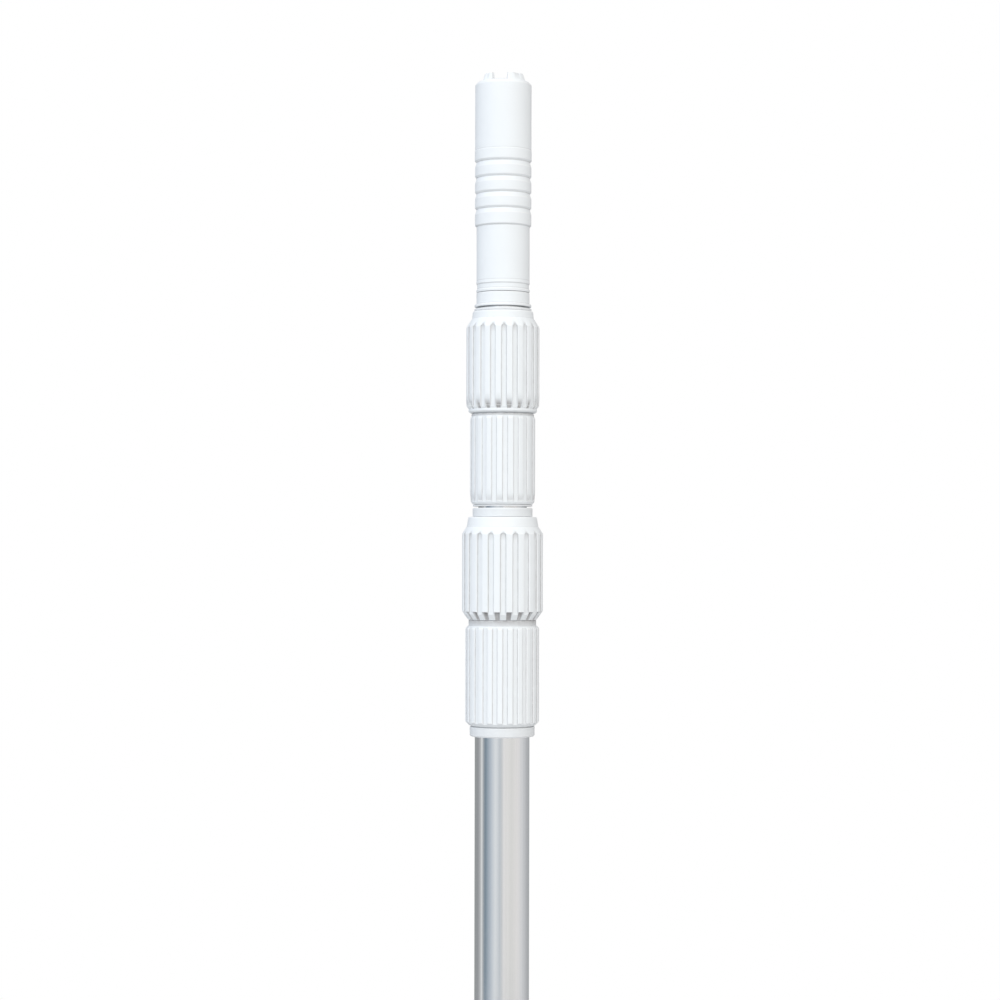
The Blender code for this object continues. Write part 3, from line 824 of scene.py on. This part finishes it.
@dataclass(frozen=True)
class Moulded(Finish):
    """Moulded plastic or rubber: mould grain, painted shade in hollows, paler worn edges that are partly a
    painted highlight.
    """

    # colour of worn edges, partly a painted highlight, and of the painted shade in hollows, with how much of
    # each
    edge_highlight_colour: Colour
    hollow_shade_colour: Colour
    edge_amount: float = 0.5
    hollow_shade_amount: float = 1.0
    tone_change: float = 0.03
    grain_depth: float = 0.004
    specular: float = 0.5

    def material(self) -> bpy.types.Material:
        """Build the material.

        Returns:
            The new material.
        """
        material, nodes, shader, place = self.start()
        grain = EFFECTS.grain.use(nodes, {"Place": place})
        darker = tuple(c * (1.0 - self.tone_change) for c in self.colour)
        toned = nodes.mix(grain["Tone"], self.colour, darker)
        # worn edges painted paler, partly as a highlight, and hollows painted with shade
        edges_and_shade = EFFECTS.edges_and_shade.use(nodes, {"Place": place, "Colour": toned, "Edge Highlight Colour": self.edge_highlight_colour,
                                        "Hollow Shade Colour": self.hollow_shade_colour, "Edge Amount": self.edge_amount,
                                        "Hollow Shade Amount": self.hollow_shade_amount})
        marks = EFFECTS.marks.use(nodes, {"Place": place, "Roughness": self.roughness})
        polished = nodes.math("MULTIPLY_ADD", edges_and_shade["Edge"], -0.1, marks["Roughness"])
        dull = nodes.math("MULTIPLY_ADD", edges_and_shade["Hollow"], 0.3, polished)
        nodes.tree.links.new(edges_and_shade["Colour"], shader.inputs["Base Color"])
        nodes.tree.links.new(dull, shader.inputs["Roughness"])
        shader.inputs["Specular IOR Level"].default_value = self.specular
        self.join(nodes, shader, grain["Height"], self.grain_depth)
        return material


@dataclass(frozen=True)
class Drawn(Finish):
    """Drawn and satin-anodised metal, with faint lines along the pole."""

    shade: Colour
    line_depth: float = 0.0006

    def material(self) -> bpy.types.Material:
        """Build the material.

        Returns:
            The new material.
        """
        material, nodes, shader, place = self.start()
        lines = EFFECTS.lines.use(nodes, {"Place": place})
        tone = nodes.ramp(lines["Tone"], (0.3, 0.0), (0.7, 1.0))
        # worn edges get the lighter colour, partly a painted highlight; hollows get the darker one as painted
        # shade
        edges_and_shade = EFFECTS.edges_and_shade.use(nodes, {"Place": place, "Colour": nodes.mix(tone, self.colour, self.shade),
                                        "Edge Highlight Colour": self.colour, "Hollow Shade Colour": self.shade,
                                        "Edge Amount": 0.6, "Hollow Shade Amount": 0.5})
        marks = EFFECTS.marks.use(nodes, {"Place": place, "Roughness": self.roughness, "Change": 0.04})
        rough = nodes.math("MULTIPLY_ADD", tone, 0.05, marks["Roughness"])
        nodes.tree.links.new(edges_and_shade["Colour"], shader.inputs["Base Color"])
        nodes.tree.links.new(rough, shader.inputs["Roughness"])
        shader.inputs["Metallic"].default_value = 1.0
        self.join(nodes, shader, lines["Height"], self.line_depth)
        return material


class Finishes:
    """The pole's finishes, each made into a material the first time it is asked for."""

    # Each finish's edge colour paints worn edges paler, partly as a highlight, and its hollow colour is
    # painted shade.
    WHITE = Moulded("white_moulded_plastic", Slot.WHITE_PLASTIC, (0.90, 0.925, 0.94), 0.42,
                    edge_highlight_colour=(0.96, 0.965, 0.97), hollow_shade_colour=(0.34, 0.32, 0.315))
    NYLON = Moulded("natural_moulded_nylon", Slot.NATURAL_NYLON, (0.76, 0.73, 0.64), 0.5,
                    edge_highlight_colour=(0.84, 0.82, 0.76), hollow_shade_colour=(0.40, 0.37, 0.32), tone_change=0.08)
    RUBBER = Moulded("black_moulded_rubber", Slot.BLACK_RUBBER, (0.022, 0.022, 0.024), 0.72,
                     edge_highlight_colour=(0.07, 0.07, 0.07), hollow_shade_colour=(0.012, 0.012, 0.012),
                     edge_amount=0.7, tone_change=0.25, grain_depth=0.02, specular=0.35)
    ALUMINIUM = Drawn("satin_drawn_aluminium", Slot.SATIN_ALUMINIUM, (0.90, 0.905, 0.91), 0.11,
                      shade=(0.82, 0.825, 0.83))
    STEEL = Drawn("turned_steel", Slot.STEEL, (0.60, 0.60, 0.61), 0.28, shade=(0.48, 0.48, 0.49))

    def __init__(self) -> None:
        """Start with no material made."""
        self.made: dict[str, bpy.types.Material] = {}

    def of(self, finish: Moulded | Drawn) -> bpy.types.Material:
        """Material of a finish.

        Args:
            finish: which finish.

        Returns:
            The one material made for it.
        """
        if finish.name not in self.made:
            self.made[finish.name] = finish.material()
        return self.made[finish.name]


FINISHES = Finishes()


def stand_for(node: str, name: str, surface: Surface, finish: Moulded | Drawn) -> bpy.types.Object:
    """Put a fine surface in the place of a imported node.

    Args:
        node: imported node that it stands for.
        name: name of the new piece.
        surface: its shape.
        finish: its finish.

    Returns:
        The piece, on the node's body.
    """
    piece = bpy.data.objects.new(name, surface.mesh(name))
    bpy.context.scene.collection.objects.link(piece)
    piece.data.materials.append(FINISHES.of(finish))
    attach(piece, BODY_OF[node])
    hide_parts(node)
    log.info("%s for %s: %d faces, %s", name, node, len(piece.data.polygons), finish.name)
    return piece


def lathe(node: str, name: str, section: Section, step: float, finish: Moulded | Drawn,
          sides: int = 192, shade: float = 0.0) -> None:
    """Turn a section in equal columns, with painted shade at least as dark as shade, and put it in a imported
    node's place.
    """
    stand_for(node, name, turned(section.path().finer(step).shaded(shade), around(sides)), finish)


def dress(node: str, finish: Moulded | Drawn) -> None:
    """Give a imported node, whose mesh stays, its finish.

    Args:
        node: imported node.
        finish: its finish.
    """
    piece = frame["nodes"][node]
    for k in range(max(len(piece.material_slots), 1)):
        if k < len(piece.material_slots):
            piece.material_slots[k].material = FINISHES.of(finish)
        else:
            piece.data.materials.append(FINISHES.of(finish))
    log.info("%s keeps its mesh, %s", node, finish.name)


# ---- sub-assemblies -------------------------------------------------------------


@dataclass(frozen=True)
class Tube:
    """One drawn tube."""

    node: str
    wall: float
    end_round: float = 0.35
    ring_step: float = 40.0

    def build(self) -> None:
        """Turn the tube's section, rounded at both ends."""
        span = Span.of(self.node)
        bore = span.radius - self.wall
        places = ((span.radius, span.high), (span.radius, span.low), (bore, span.low), (bore, span.high))
        section = Section(places, usual_round=self.end_round)
        lathe(self.node, "drawn_" + self.node, section, self.ring_step, Finishes.ALUMINIUM)


@dataclass(frozen=True)
class ButtCap:
    """Rubber cap on the lower end, with shallow rings round it."""

    node: str = "butt_cap"
    tube_r: float = 17.5
    tube_wall: float = 1.3
    floor: float = 6.0
    rim: float = 42.0
    rings: int = 5
    ring_low: float = 12.0
    ring_pitch: float = 5.2
    ring_depth: float = 0.55
    ring_half: float = 0.9
    ring_floor_half: float = 0.4
    recess: tuple[float, float] = (4.5, 8.9)       # radii of the round recess underneath
    recess_depth: float = 0.6
    recess_slope: float = 0.4
    plug_top: float = 30.0
    plug_chamfer: tuple[float, float] = (2.0, 1.0)
    sides: int = 160

    def build(self) -> None:
        """Turn the cap: a cup outside the tube and a plug inside it."""
        span = Span.of(self.node)
        radius, top = span.radius, span.low + self.rim
        inside, outside = self.tube_r - self.tube_wall - CLEAR, self.tube_r + CLEAR
        inner, outer = self.recess
        recess_z, floor = span.low + self.recess_depth, span.low + self.floor
        plug_z = span.low + self.plug_top
        chamfer_r, chamfer_z = self.plug_chamfer
        corners = [(0.0, span.low), (inner, span.low, 0.2), (inner + self.recess_slope, recess_z, 0.2),
                   (outer - self.recess_slope, recess_z, 0.2), (outer, span.low, 0.2),
                   (radius - 1.2, span.low, 0.9), (radius, span.low + 1.6, 1.2)]
        for k in range(self.rings):
            z, ring_r = span.low + self.ring_low + k * self.ring_pitch, radius - self.ring_depth
            corners += [(radius, z - self.ring_half, 0.2), (ring_r, z - self.ring_floor_half, 0.3),
                        (ring_r, z + self.ring_floor_half, 0.3), (radius, z + self.ring_half, 0.2)]
        corners += [(radius, top, 0.7), (outside, top, 0.3), (outside, floor, 0.2), (inside, floor, 0.2),
                    (inside, plug_z - chamfer_z, 0.8), (inside - chamfer_r, plug_z, 0.4), (0.0, plug_z)]
        section = Section(tuple(corners), closed=False)
        lathe(self.node, "moulded_butt_cap", section, 8.0, Finishes.RUBBER, self.sides)


@dataclass(frozen=True)
class Nut:
    """Ribbed hand nut; heights are above its lower rim."""

    foot: tuple[tuple[float, float, float], ...]      # radius, height and rounding of each corner
    rib_low: float
    shoulder_low: float        # where the ribs begin to slope in
    shoulder_high_r: float
    cone_low: float
    cone_low_r: float
    top_r: float
    thread_r: float
    wedge_r: float
    spigot_r: float
    thread_top: float
    wedge_top: float
    groove_top: float          # rounded end of the grooves, above the shoulder's start
    ribs: tuple[int, float, float, float, float]      # count, phase, half width, depth, wall
    pocket: tuple[float, ...]  # heights, half widths and backs, each low then high
    fine_step: float = 0.28    # longest step where grooves and hollows end

    def surface(self, span: Span) -> Surface:
        """Turn the nut's section and cut its grooves and the hollows at its foot.

        Args:
            span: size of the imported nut.

        Returns:
            The nut's surface.
        """
        low, crest = span.low, span.radius
        shoulder = low + self.shoulder_low
        groove_end = shoulder + self.groove_top
        pockets = Pockets.above(low, self.pocket)
        foot = tuple((r, low + z, fillet) for r, z, fillet in self.foot)
        section = Section(foot + (
            (crest, low + self.rib_low, 0.5), (crest, shoulder, 1.2),
            (self.shoulder_high_r, low + self.cone_low - 0.2, 0.3),
            (self.cone_low_r, low + self.cone_low + 0.15, 0.3), (self.top_r, span.high, 0.9),
            (self.spigot_r, span.high, 0.2), (self.spigot_r, low + self.wedge_top, 0.2),
            (self.wedge_r, low + self.wedge_top, 0.2), (self.wedge_r, low + self.thread_top, 0.2),
            (self.thread_r, low + self.thread_top, 0.2), (self.thread_r, low, 0.2)))
        zones = ((low - 1.0, pockets.high + 1.5), (shoulder - 3.0, groove_end + 1.5))
        path = section.path().finer(COARSE_STEP, self.fine_step, zones)
        return ribbed(path, Ribs(*self.ribs, low - RUN_OUT, groove_end), crest, pockets)


@dataclass(frozen=True)
class Collar:
    """Ribbed collar with its threaded neck; heights are below the top of its neck."""

    neck_r: float
    flange_r: float            # plain band between the ribs and the nut
    flange: float              # its upper edge, above the foot of the neck
    rib_low: float             # lower end of the ribs, above the collar's lower rim
    bottom_r: float
    top_round: float
    tube_r: float
    seat_r: float
    liner_r: float
    ribs: tuple[int, float, float, float, float]
    pocket: tuple[float, ...] = ()
    neck: float = 21.8         # length of the neck
    seat: float = 7.0          # depth of the collet's seat
    liner: float = 6.0         # top of the liner, below the collar's ribs
    shoulder: float = -0.6     # upper edge of the ribs, above the foot of the neck
    fine_step: float = 0.3

    def surface(self, span: Span) -> Surface:
        """Turn the collar's section and cut its grooves.

        Args:
            span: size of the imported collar.

        Returns:
            The collar's surface.
        """
        top, crest, low = span.high - self.neck, span.radius, span.low
        seat_z = span.high - self.seat
        flange_z, shoulder = top + self.flange, top + self.shoulder
        section = Section((
            (self.neck_r, span.high, 0.3), (self.neck_r, flange_z, 0.1),
            (self.flange_r, flange_z, 0.2), (self.flange_r, shoulder, 0.2),
            (crest - self.top_round, shoulder - 0.1, 0.3), (crest, shoulder - 1.5, 1.2),
            (crest, low + self.rib_low, 0.9),
            (self.bottom_r, low, 0.5), (self.liner_r, low, 0.2),
            (self.liner_r, top - self.liner, 0.2), (self.tube_r, top - self.liner, 0.2),
            (self.tube_r, seat_z, 0.2), (self.seat_r, seat_z, 0.2),
            (self.seat_r, span.high, 0.3)))
        zones = ((low - 1.0, low + self.rib_low + 3.0), (top - 4.0, flange_z + 0.3))
        path = section.path().finer(COARSE_STEP, self.fine_step, zones)
        pockets = Pockets.above(low, self.pocket) if self.pocket else None
        # painted shade on the neck between the ribs and the nut, darkest at its top
        shades = ((shoulder + 0.05, flange_z + 0.3, *NECK_SHADES),)
        return ribbed(path, Ribs(*self.ribs, low - RUN_OUT, top + RUN_OUT), crest, pockets, shades)


@dataclass(frozen=True)
class TwistLock:
    """One twist lock: collar and liner on one body, nut and wiper ring on another."""

    prefix: str
    tube_r: float              # tube that carries the collar
    member_r: float            # tube that slides through it
    nut: Nut
    collar: Collar
    skirt_step: float          # height of the part of the liner that shows
    skirt_chamfer: float
    lip_low: float             # underside of the wiper's lip, below its top
    lip_round: float
    spigot_wall: float = 2.9
    liner_wall: float = 1.9
    sides: int = 160

    def build(self) -> None:
        """Build the lock's four visible pieces and dress the two inside."""
        for part, surface in (("nut", self.nut.surface), ("collar", self.collar.surface)):
            node = f"{self.prefix}_{part}"
            stand_for(node, f"ribbed_{part}_{self.prefix}", surface(Span.of(node)), Finishes.WHITE)
        self.liner()
        self.wiper()
        dress(f"{self.prefix}_collet", Finishes.NYLON)
        dress(f"{self.prefix}_wedge_ring", Finishes.NYLON)

    def liner(self) -> None:
        """Turn the liner, whose lower end shows as a skirt."""
        node = f"{self.prefix}_collar_liner"
        span = Span.of(node)
        bore, outside = self.tube_r + CLEAR, self.tube_r + self.liner_wall
        skirt_top = span.low + self.skirt_step
        section = Section((
            (bore, span.high, 0.3), (outside, span.high, 0.3), (outside, skirt_top, 0.2),
            (span.radius, skirt_top, 0.35), (span.radius, span.low + self.skirt_chamfer, 0.5),
            (span.radius - 0.6 * self.skirt_chamfer, span.low, 0.25), (bore, span.low, 0.3)),
            corner_shade=CORNER_SHADE)
        self.lip(node, f"skirted_liner_{self.prefix}", section)

    def wiper(self) -> None:
        """Turn the lipped ring that wipes the sliding tube."""
        node = f"{self.prefix}_wiper_ring"
        span = Span.of(node)
        bore, spigot = self.member_r + CLEAR, self.member_r + self.spigot_wall
        lip = span.high - self.lip_low
        section = Section((
            (bore, span.high, 0.2), (bore, span.low, 0.2), (spigot, span.low, 0.2),
            (spigot, lip, 0.2), (span.radius, lip, 0.3),
            (span.radius, span.high, self.lip_round)), corner_shade=CORNER_SHADE)
        self.lip(node, f"wiper_lip_{self.prefix}", section)

    def lip(self, node: str, name: str, section: Section) -> None:
        """Turn one of the two plain rings, which a grip keeps in its shadow."""
        lathe(node, name, section, 10.0, Finishes.WHITE, self.sides, SKIRT_SHADE)


@dataclass(frozen=True)
class Crown:
    """Castellated insert round the tool socket."""

    node: str = "crown_insert"
    lug_height: float = 4.3
    socket_r: float = 11.0
    socket_depth: float = 30.2
    rim_r: float = 15.35
    lug_top_r: float = 13.9
    spigot_r: float = 12.0
    shoulder: float = 37.9     # below the lugs' tops
    flank: float = 3.6         # width of a lug's side, in degrees
    lugs: tuple[tuple[float, float], ...] = ((-44.0, 12.0), (38.0, 25.0), (136.0, 12.0), (218.0, 25.0))
    recess: float = 0.45       # depth of the shallow upright hollow in each lug
    recess_share: float = 0.4  # its half width, as a share of the lug's
    sleeve_top: float = 4.8    # below the lugs' tops
    # painted shade in the lugs' shallow hollows, and along the line where the crown meets the sleeve's top
    recess_shade: float = 0.22
    joint_shade: float = 0.7   # line where the crown meets the sleeve's top
    columns: int = 720

    def section(self, span: Span, lug: bool) -> Section:
        """Section through a lug, or between two lugs.

        Args:
            span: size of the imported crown.
            lug: whether the section passes through a lug.

        Returns:
            An open section from the socket's floor to the spigot's foot.
        """
        top = span.high
        seat = top - self.lug_height
        rim = top if lug else seat
        rim_r = self.lug_top_r if lug else self.rim_r - 0.35
        floor = top - self.socket_depth
        inner = self.socket_r + (0.4 if lug else 0.0)
        return Section((
            (0.0, floor), (self.socket_r, floor, 0.6), (self.socket_r, seat - 1.2, 0.3),
            (inner, rim, 0.35), (rim_r, rim, 0.4), (self.rim_r, seat - 0.5, 0.3),
            (self.rim_r, top - self.shoulder, 0.3), (self.spigot_r, top - self.shoulder, 0.3),
            (self.spigot_r, span.low, 0.6), (0.0, span.low)), closed=False)

    def build(self) -> None:
        """Turn the crown, changing from one section to the other at the lugs' sides.

        At each angle the section is a mix of the two, and the share of the lug's
        eases from 0 to 1 across its side.
        """
        span = Span.of(self.node)
        angles = around(self.columns)
        share, sunk = np.zeros(self.columns), np.zeros(self.columns)
        for middle, half in self.lugs:
            away = np.abs((angles - middle + 180.0) % 360.0 - 180.0)
            share = np.maximum(share, ease(half + self.flank, half, away))
            sunk = np.maximum(sunk, ease(self.recess_share * half, 0.5 * self.recess_share * half, away))
        lug, gap = self.section(span, True).path(), self.section(span, False).path()
        points = lug.points[:, None] * share[:, None] + gap.points[:, None] * (1.0 - share)[:, None]
        radius, height = points[..., 0], points[..., 1]
        seat, rim = span.high - self.lug_height, span.high - self.sleeve_top
        # the lugs' sides carry the worn-edge mask: painted paler, partly as a highlight
        side = 4.0 * share * (1.0 - share) * (height > seat - 0.6)
        edge = np.maximum(lug.edge[:, None], side)
        outer = radius > 0.5 * (self.socket_r + self.lug_top_r)
        face = outer * ease(seat, seat + 0.6, height) * sunk
        radius -= self.recess * face
        # painted shade in a line where the crown meets the sleeve, between the lugs
        joint = outer * (height > rim - 1.0) * ease(rim + 0.7, rim + 0.2, height) * (1.0 - share)
        hollow = np.maximum(CORNER_SHADE * lug.hollow[:, None], self.joint_shade * joint)
        # painted shade in the lugs' shallow hollows
        path = Path(points, edge, np.maximum(hollow, self.recess_shade * face), False)
        stand_for(self.node, "castellated_crown", turned(path, angles), Finishes.WHITE)


@dataclass(frozen=True)
class Sleeve:
    """Grip sleeve over the inner tube, with saw-tooth ridges and a grooved foot."""

    node: str = "tip_sleeve"
    ring_node: str = "tip_end_ring"
    grip_r: float = 18.0
    lower_r: float = 16.95
    band_rise: float = 0.15
    first_ridge: float = 50.0      # below the sleeve's top
    band: float = 6.0              # height of the plain band over the first ridge
    ridge_pitch: float = 10.05
    ridges: int = 4
    ridge_depth: float = 1.0
    ridge_step: float = 1.2
    ridge_slope: float = 3.1
    bore: float = 13.8
    crown_bore: float = 15.65
    crown_seat: float = 33.4       # below the sleeve's top
    # outward step, height and rounding of each corner at the sleeve's lower end
    foot: tuple[tuple[float, float, float], ...] = (
        (0.0, 7.6, 0.8), (0.15, 5.5, 0.3), (-0.4, 5.1, 0.3),
        (-0.4, 2.2, 0.3), (0.15, 1.4, 0.3), (0.0, 0.0, 0.25))
    ring_flange: float = 1.5

    def build(self) -> None:
        """Turn the sleeve from its top down, then the ring under it."""
        span = Span.of(self.node)
        top = span.high
        band_r = self.grip_r + self.band_rise
        ridge = top - self.first_ridge
        corners = [(self.crown_bore, top, 0.2), (self.grip_r - 1.6, top, 0.6),
                   (self.grip_r, top - 1.7, 1.0), (self.grip_r, ridge + self.band + 0.7, 0.5),
                   (band_r, ridge + self.band, 0.4), (band_r, ridge, 0.35)]
        for k in range(self.ridges):
            z = ridge - k * self.ridge_pitch
            corners += [(self.grip_r - self.ridge_depth, z - self.ridge_step, 0.5),
                        (self.grip_r, z - self.ridge_step - self.ridge_slope, 1.2),
                        (self.grip_r, z - self.ridge_pitch, 0.35)]
        last = ridge - self.ridges * self.ridge_pitch
        corners[-1] = (self.grip_r, last - 1.3, 0.4)
        corners.append((self.lower_r, last - 2.0, 0.4))
        corners += [(self.lower_r + rise, span.low + z, fillet) for rise, z, fillet in self.foot]
        corners += [(self.bore, span.low, 0.3), (self.bore, top - self.crown_seat, 0.3),
                    (self.crown_bore, top - self.crown_seat, 0.3)]
        section = Section(tuple(corners), corner_shade=CORNER_SHADE)
        lathe(self.node, "ridged_grip_sleeve", section, 6.0, Finishes.WHITE)
        self.end_ring()

    def end_ring(self) -> None:
        """Turn the flanged ring that closes the sleeve's lower end."""
        span = Span.of(self.ring_node)
        section = Section((
            (self.bore, span.high, 0.3), (self.bore, span.low, 0.3),
            (span.radius, span.low, 0.4), (span.radius, span.low + self.ring_flange, 0.5),
            (self.lower_r, span.low + self.ring_flange + 0.3, 0.3), (self.lower_r, span.high, 0.5)),
            corner_shade=CORNER_SHADE)
        lathe(self.ring_node, "sleeve_end_ring", section, 4.0, Finishes.WHITE)


LOWER_LOCK = TwistLock(
    "lower", tube_r=17.5, member_r=15.5,
    nut=Nut(foot=((21.9, 0.0, 0.25),), rib_low=5.45, shoulder_low=54.8, shoulder_high_r=23.25, cone_low=59.1,
            cone_low_r=22.95, top_r=21.8, thread_r=21.0, wedge_r=20.5, spigot_r=18.7, thread_top=20.7,
            wedge_top=47.6, groove_top=0.5, ribs=(20, 1.0, 1.85, 1.4, 1.0),
            pocket=(-1.0, 5.1, 1.6, 1.75, 20.9, 22.6)),
    collar=Collar(neck_r=20.6, flange_r=21.6, flange=3.0, rib_low=2.5, bottom_r=20.95, top_round=1.6,
                  tube_r=17.8, seat_r=19.2, liner_r=19.7, ribs=(22, 4.5, 1.6, 0.9, 1.0)),
    skirt_step=6.2, skirt_chamfer=1.0, lip_low=5.5, lip_round=0.7)

UPPER_LOCK = TwistLock(
    "upper", tube_r=15.5, member_r=13.5,
    nut=Nut(foot=((20.9, 0.0, 0.25), (21.9, 0.9, 0.4), (21.8, 2.7, 0.3)), rib_low=4.3, shoulder_low=54.5,
            shoulder_high_r=20.1, cone_low=60.0, cone_low_r=19.65, top_r=19.3, thread_r=19.4, wedge_r=18.9,
            spigot_r=16.7, thread_top=22.3, wedge_top=49.2, groove_top=0.7, ribs=(20, 1.8, 1.65, 1.3, 0.9),
            pocket=(2.4, 5.1, 1.3, 1.65, 20.2, 20.6)),
    collar=Collar(neck_r=19.0, flange_r=20.0, flange=0.9, rib_low=2.3, bottom_r=19.05, top_round=0.65,
                  tube_r=15.8, seat_r=17.2, liner_r=17.7, ribs=(18, 4.4, 1.7, 0.8, 0.9),
                  pocket=(1.9, 3.5, 1.7, 1.9, 19.5, 19.9, 0.3)),
    skirt_step=0.9, skirt_chamfer=0.25, lip_low=1.5, lip_round=0.4)


@dataclass(frozen=True)
class InnerWorks:
    """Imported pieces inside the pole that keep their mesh."""

    nylon: tuple[str, ...] = ("middle_guide_bush", "middle_end_plug", "inner_guide_bush", "inner_end_plug")
    steel: tuple[str, ...] = ("middle_plug_pin", "inner_plug_pin", "crown_pin")

    def build(self) -> None:
        """Dress each of them."""
        for nodes, finish in ((self.nylon, Finishes.NYLON), (self.steel, Finishes.STEEL)):
            for node in nodes:
                dress(node, finish)


# ---- studio ---------------------------------------------------------------------


@dataclass(frozen=True)
class Studio:
    """Plain pale floor, soft light from all round, and the camera."""

    floor_r: float = 3.0           # metres
    floor_drop: float = 0.2
    floor_colour: Colour = (0.66, 0.66, 0.655)
    camera_distance: float = 1559.0
    camera_height: float = 916.6
    camera_side: float = -1.6
    roll: float = 0.117            # degrees
    lens: float = 87.7
    shift: float = 0.047
    # light seen level with the pole, by degrees from the facing side
    bands: tuple[tuple[float, Colour], ...] = (
        (-180.0, (0.36, 0.38, 0.39)), (-150.0, (0.32, 0.335, 0.335)), (-120.0, (0.32, 0.33, 0.345)),
        (-103.0, (0.50, 0.51, 0.52)), (-94.5, (0.82, 0.84, 0.84)), (-86.0, (0.40, 0.43, 0.46)),
        (-75.0, (0.19, 0.255, 0.31)), (-51.5, (0.47, 0.53, 0.60)), (-28.0, (0.76, 0.79, 0.81)),
        (-18.0, (0.70, 0.73, 0.76)), (-8.5, (0.55, 0.59, 0.625)), (-0.5, (0.66, 0.675, 0.69)),
        (9.5, (0.865, 0.85, 0.84)), (40.0, (0.79, 0.785, 0.765)), (64.0, (0.84, 0.82, 0.81)),
        (96.0, (0.68, 0.69, 0.705)), (130.0, (0.47, 0.48, 0.495)), (180.0, (0.36, 0.38, 0.39)))
    # light seen from above the pole's own height
    sky: tuple[tuple[float, Colour], ...] = (
        (-180.0, (0.50, 0.51, 0.53)), (-125.0, (0.48, 0.51, 0.58)), (-98.0, (0.80, 0.87, 1.02)),
        (-75.0, (1.30, 1.38, 1.55)), (-35.0, (1.90, 1.98, 2.07)), (0.0, (2.20, 2.25, 2.23)),
        (30.0, (1.80, 1.79, 1.75)), (70.0, (0.66, 0.63, 0.62)), (105.0, (0.30, 0.29, 0.29)),
        (180.0, (0.50, 0.51, 0.53)))
    zenith: Colour = (0.85, 0.85, 0.85)

    def build(self) -> None:
        """Make the floor, the light and the camera."""
        scene = bpy.context.scene
        scene.view_settings.view_transform = "Standard"
        scene.view_settings.look = "None"
        self.floor()
        scene.world = self.light()
        scene.camera = self.camera()

    def floor(self) -> None:
        """Lay a round floor under the butt, with a soft grain.

        Its points lie on circles round the pole at equal steps of radius.
        """
        rings, columns = 12, 96
        radius = np.linspace(0.0, self.floor_r / MM, rings + 1)[1:, None]
        turn = np.radians(around(columns))[None, :]
        level = np.full((rings, columns), -self.floor_drop)
        points = np.stack((radius * np.sin(turn), -radius * np.cos(turn), level), axis=-1).reshape(-1, 3)
        points = np.concatenate((points, ((0.0, 0.0, -self.floor_drop),))) * MM
        k = np.arange(columns)
        mesh = bpy.data.meshes.new("studio_floor")
        middle = fan(rings * columns, (k + 1) % columns, k)
        mesh.from_pydata(points, [], grid(rings, columns, False).tolist() + middle)
        piece = bpy.data.objects.new("studio_floor", mesh)
        bpy.context.scene.collection.objects.link(piece)
        finish = Moulded("pale_floor", Slot.WHITE_PLASTIC, self.floor_colour, 0.7, self.floor_colour,
                         self.floor_colour, tone_change=0.03, grain_depth=0.05, specular=0.2)
        mesh.materials.append(finish.material())
        log.info("studio_floor: %d faces", len(mesh.polygons))

    def light(self) -> bpy.types.World:
        """Light from all round: upright soft panels level with the pole, sky above.

        The share of a turn, from the facing side, picks the panel's and the
        sky's colour, and the height of the direction eases from one to the other.
        Seen straight from the camera the surroundings are plain white.

        Returns:
            The world.
        """
        world = bpy.data.worlds.new("studio_light")
        world.use_nodes = True
        nodes = Nodes(world.node_tree)
        world.node_tree.nodes.clear()
        direction = nodes.add("ShaderNodeTexCoord").outputs["Generated"]
        x, y, z = nodes.add("ShaderNodeSeparateXYZ", {0: direction}).outputs
        turn = nodes.math("ARCTAN2", x, nodes.math("MULTIPLY", y, -1.0))
        share = nodes.math("MULTIPLY_ADD", turn, 1.0 / FULL_TURN, 0.5)
        level = nodes.colours(share, [(a / 360.0 + 0.5, c) for a, c in self.bands])
        sky = nodes.colours(share, [(a / 360.0 + 0.5, c) for a, c in self.sky])
        upper = nodes.mix(nodes.ramp(z, (0.6, 0.0), (0.95, 1.0)), sky, self.zenith)
        colour = nodes.mix(nodes.ramp(z, (0.0, 0.0), (0.3, 1.0)), level, upper)
        seen = nodes.add("ShaderNodeBackground", {"Color": (1.0, 1.0, 1.0, 1.0)})
        lit = nodes.add("ShaderNodeBackground", {"Color": colour})
        ray = nodes.add("ShaderNodeLightPath").outputs["Is Camera Ray"]
        mixed = nodes.add("ShaderNodeMixShader", {0: ray, 1: lit.outputs[0], 2: seen.outputs[0]})
        nodes.add("ShaderNodeOutputWorld", {"Surface": mixed.outputs[0]})
        return world

    def camera(self) -> bpy.types.Object:
        """Level camera in front of the pole, with a slight roll.

        Returns:
            The camera.
        """
        data = bpy.data.cameras.new("camera")
        data.lens = self.lens
        data.sensor_width = 36.0
        data.shift_y = self.shift
        camera = bpy.data.objects.new("camera", data)
        place = Matrix.Translation((self.camera_side, -self.camera_distance, self.camera_height))
        place.translation *= MM
        upright = Matrix.Rotation(math.pi / 2, 4, "X")
        camera.matrix_world = place @ upright @ Matrix.Rotation(math.radians(self.roll), 4, "Z")
        bpy.context.scene.collection.objects.link(camera)
        return camera


def main() -> None:
    """Build the pole from the butt up, then the studio round it."""
    logging.basicConfig(level=logging.INFO, format="%(name)s: %(message)s")
    for node, wall in (("outer_tube", 1.3), ("middle_tube", 1.2), ("inner_tube", 1.2)):
        Tube(node, wall).build()
    ButtCap().build()
    LOWER_LOCK.build()
    UPPER_LOCK.build()
    Sleeve().build()
    Crown().build()
    InnerWorks().build()
    Studio().build()


if __name__ == "__main__":
    main()
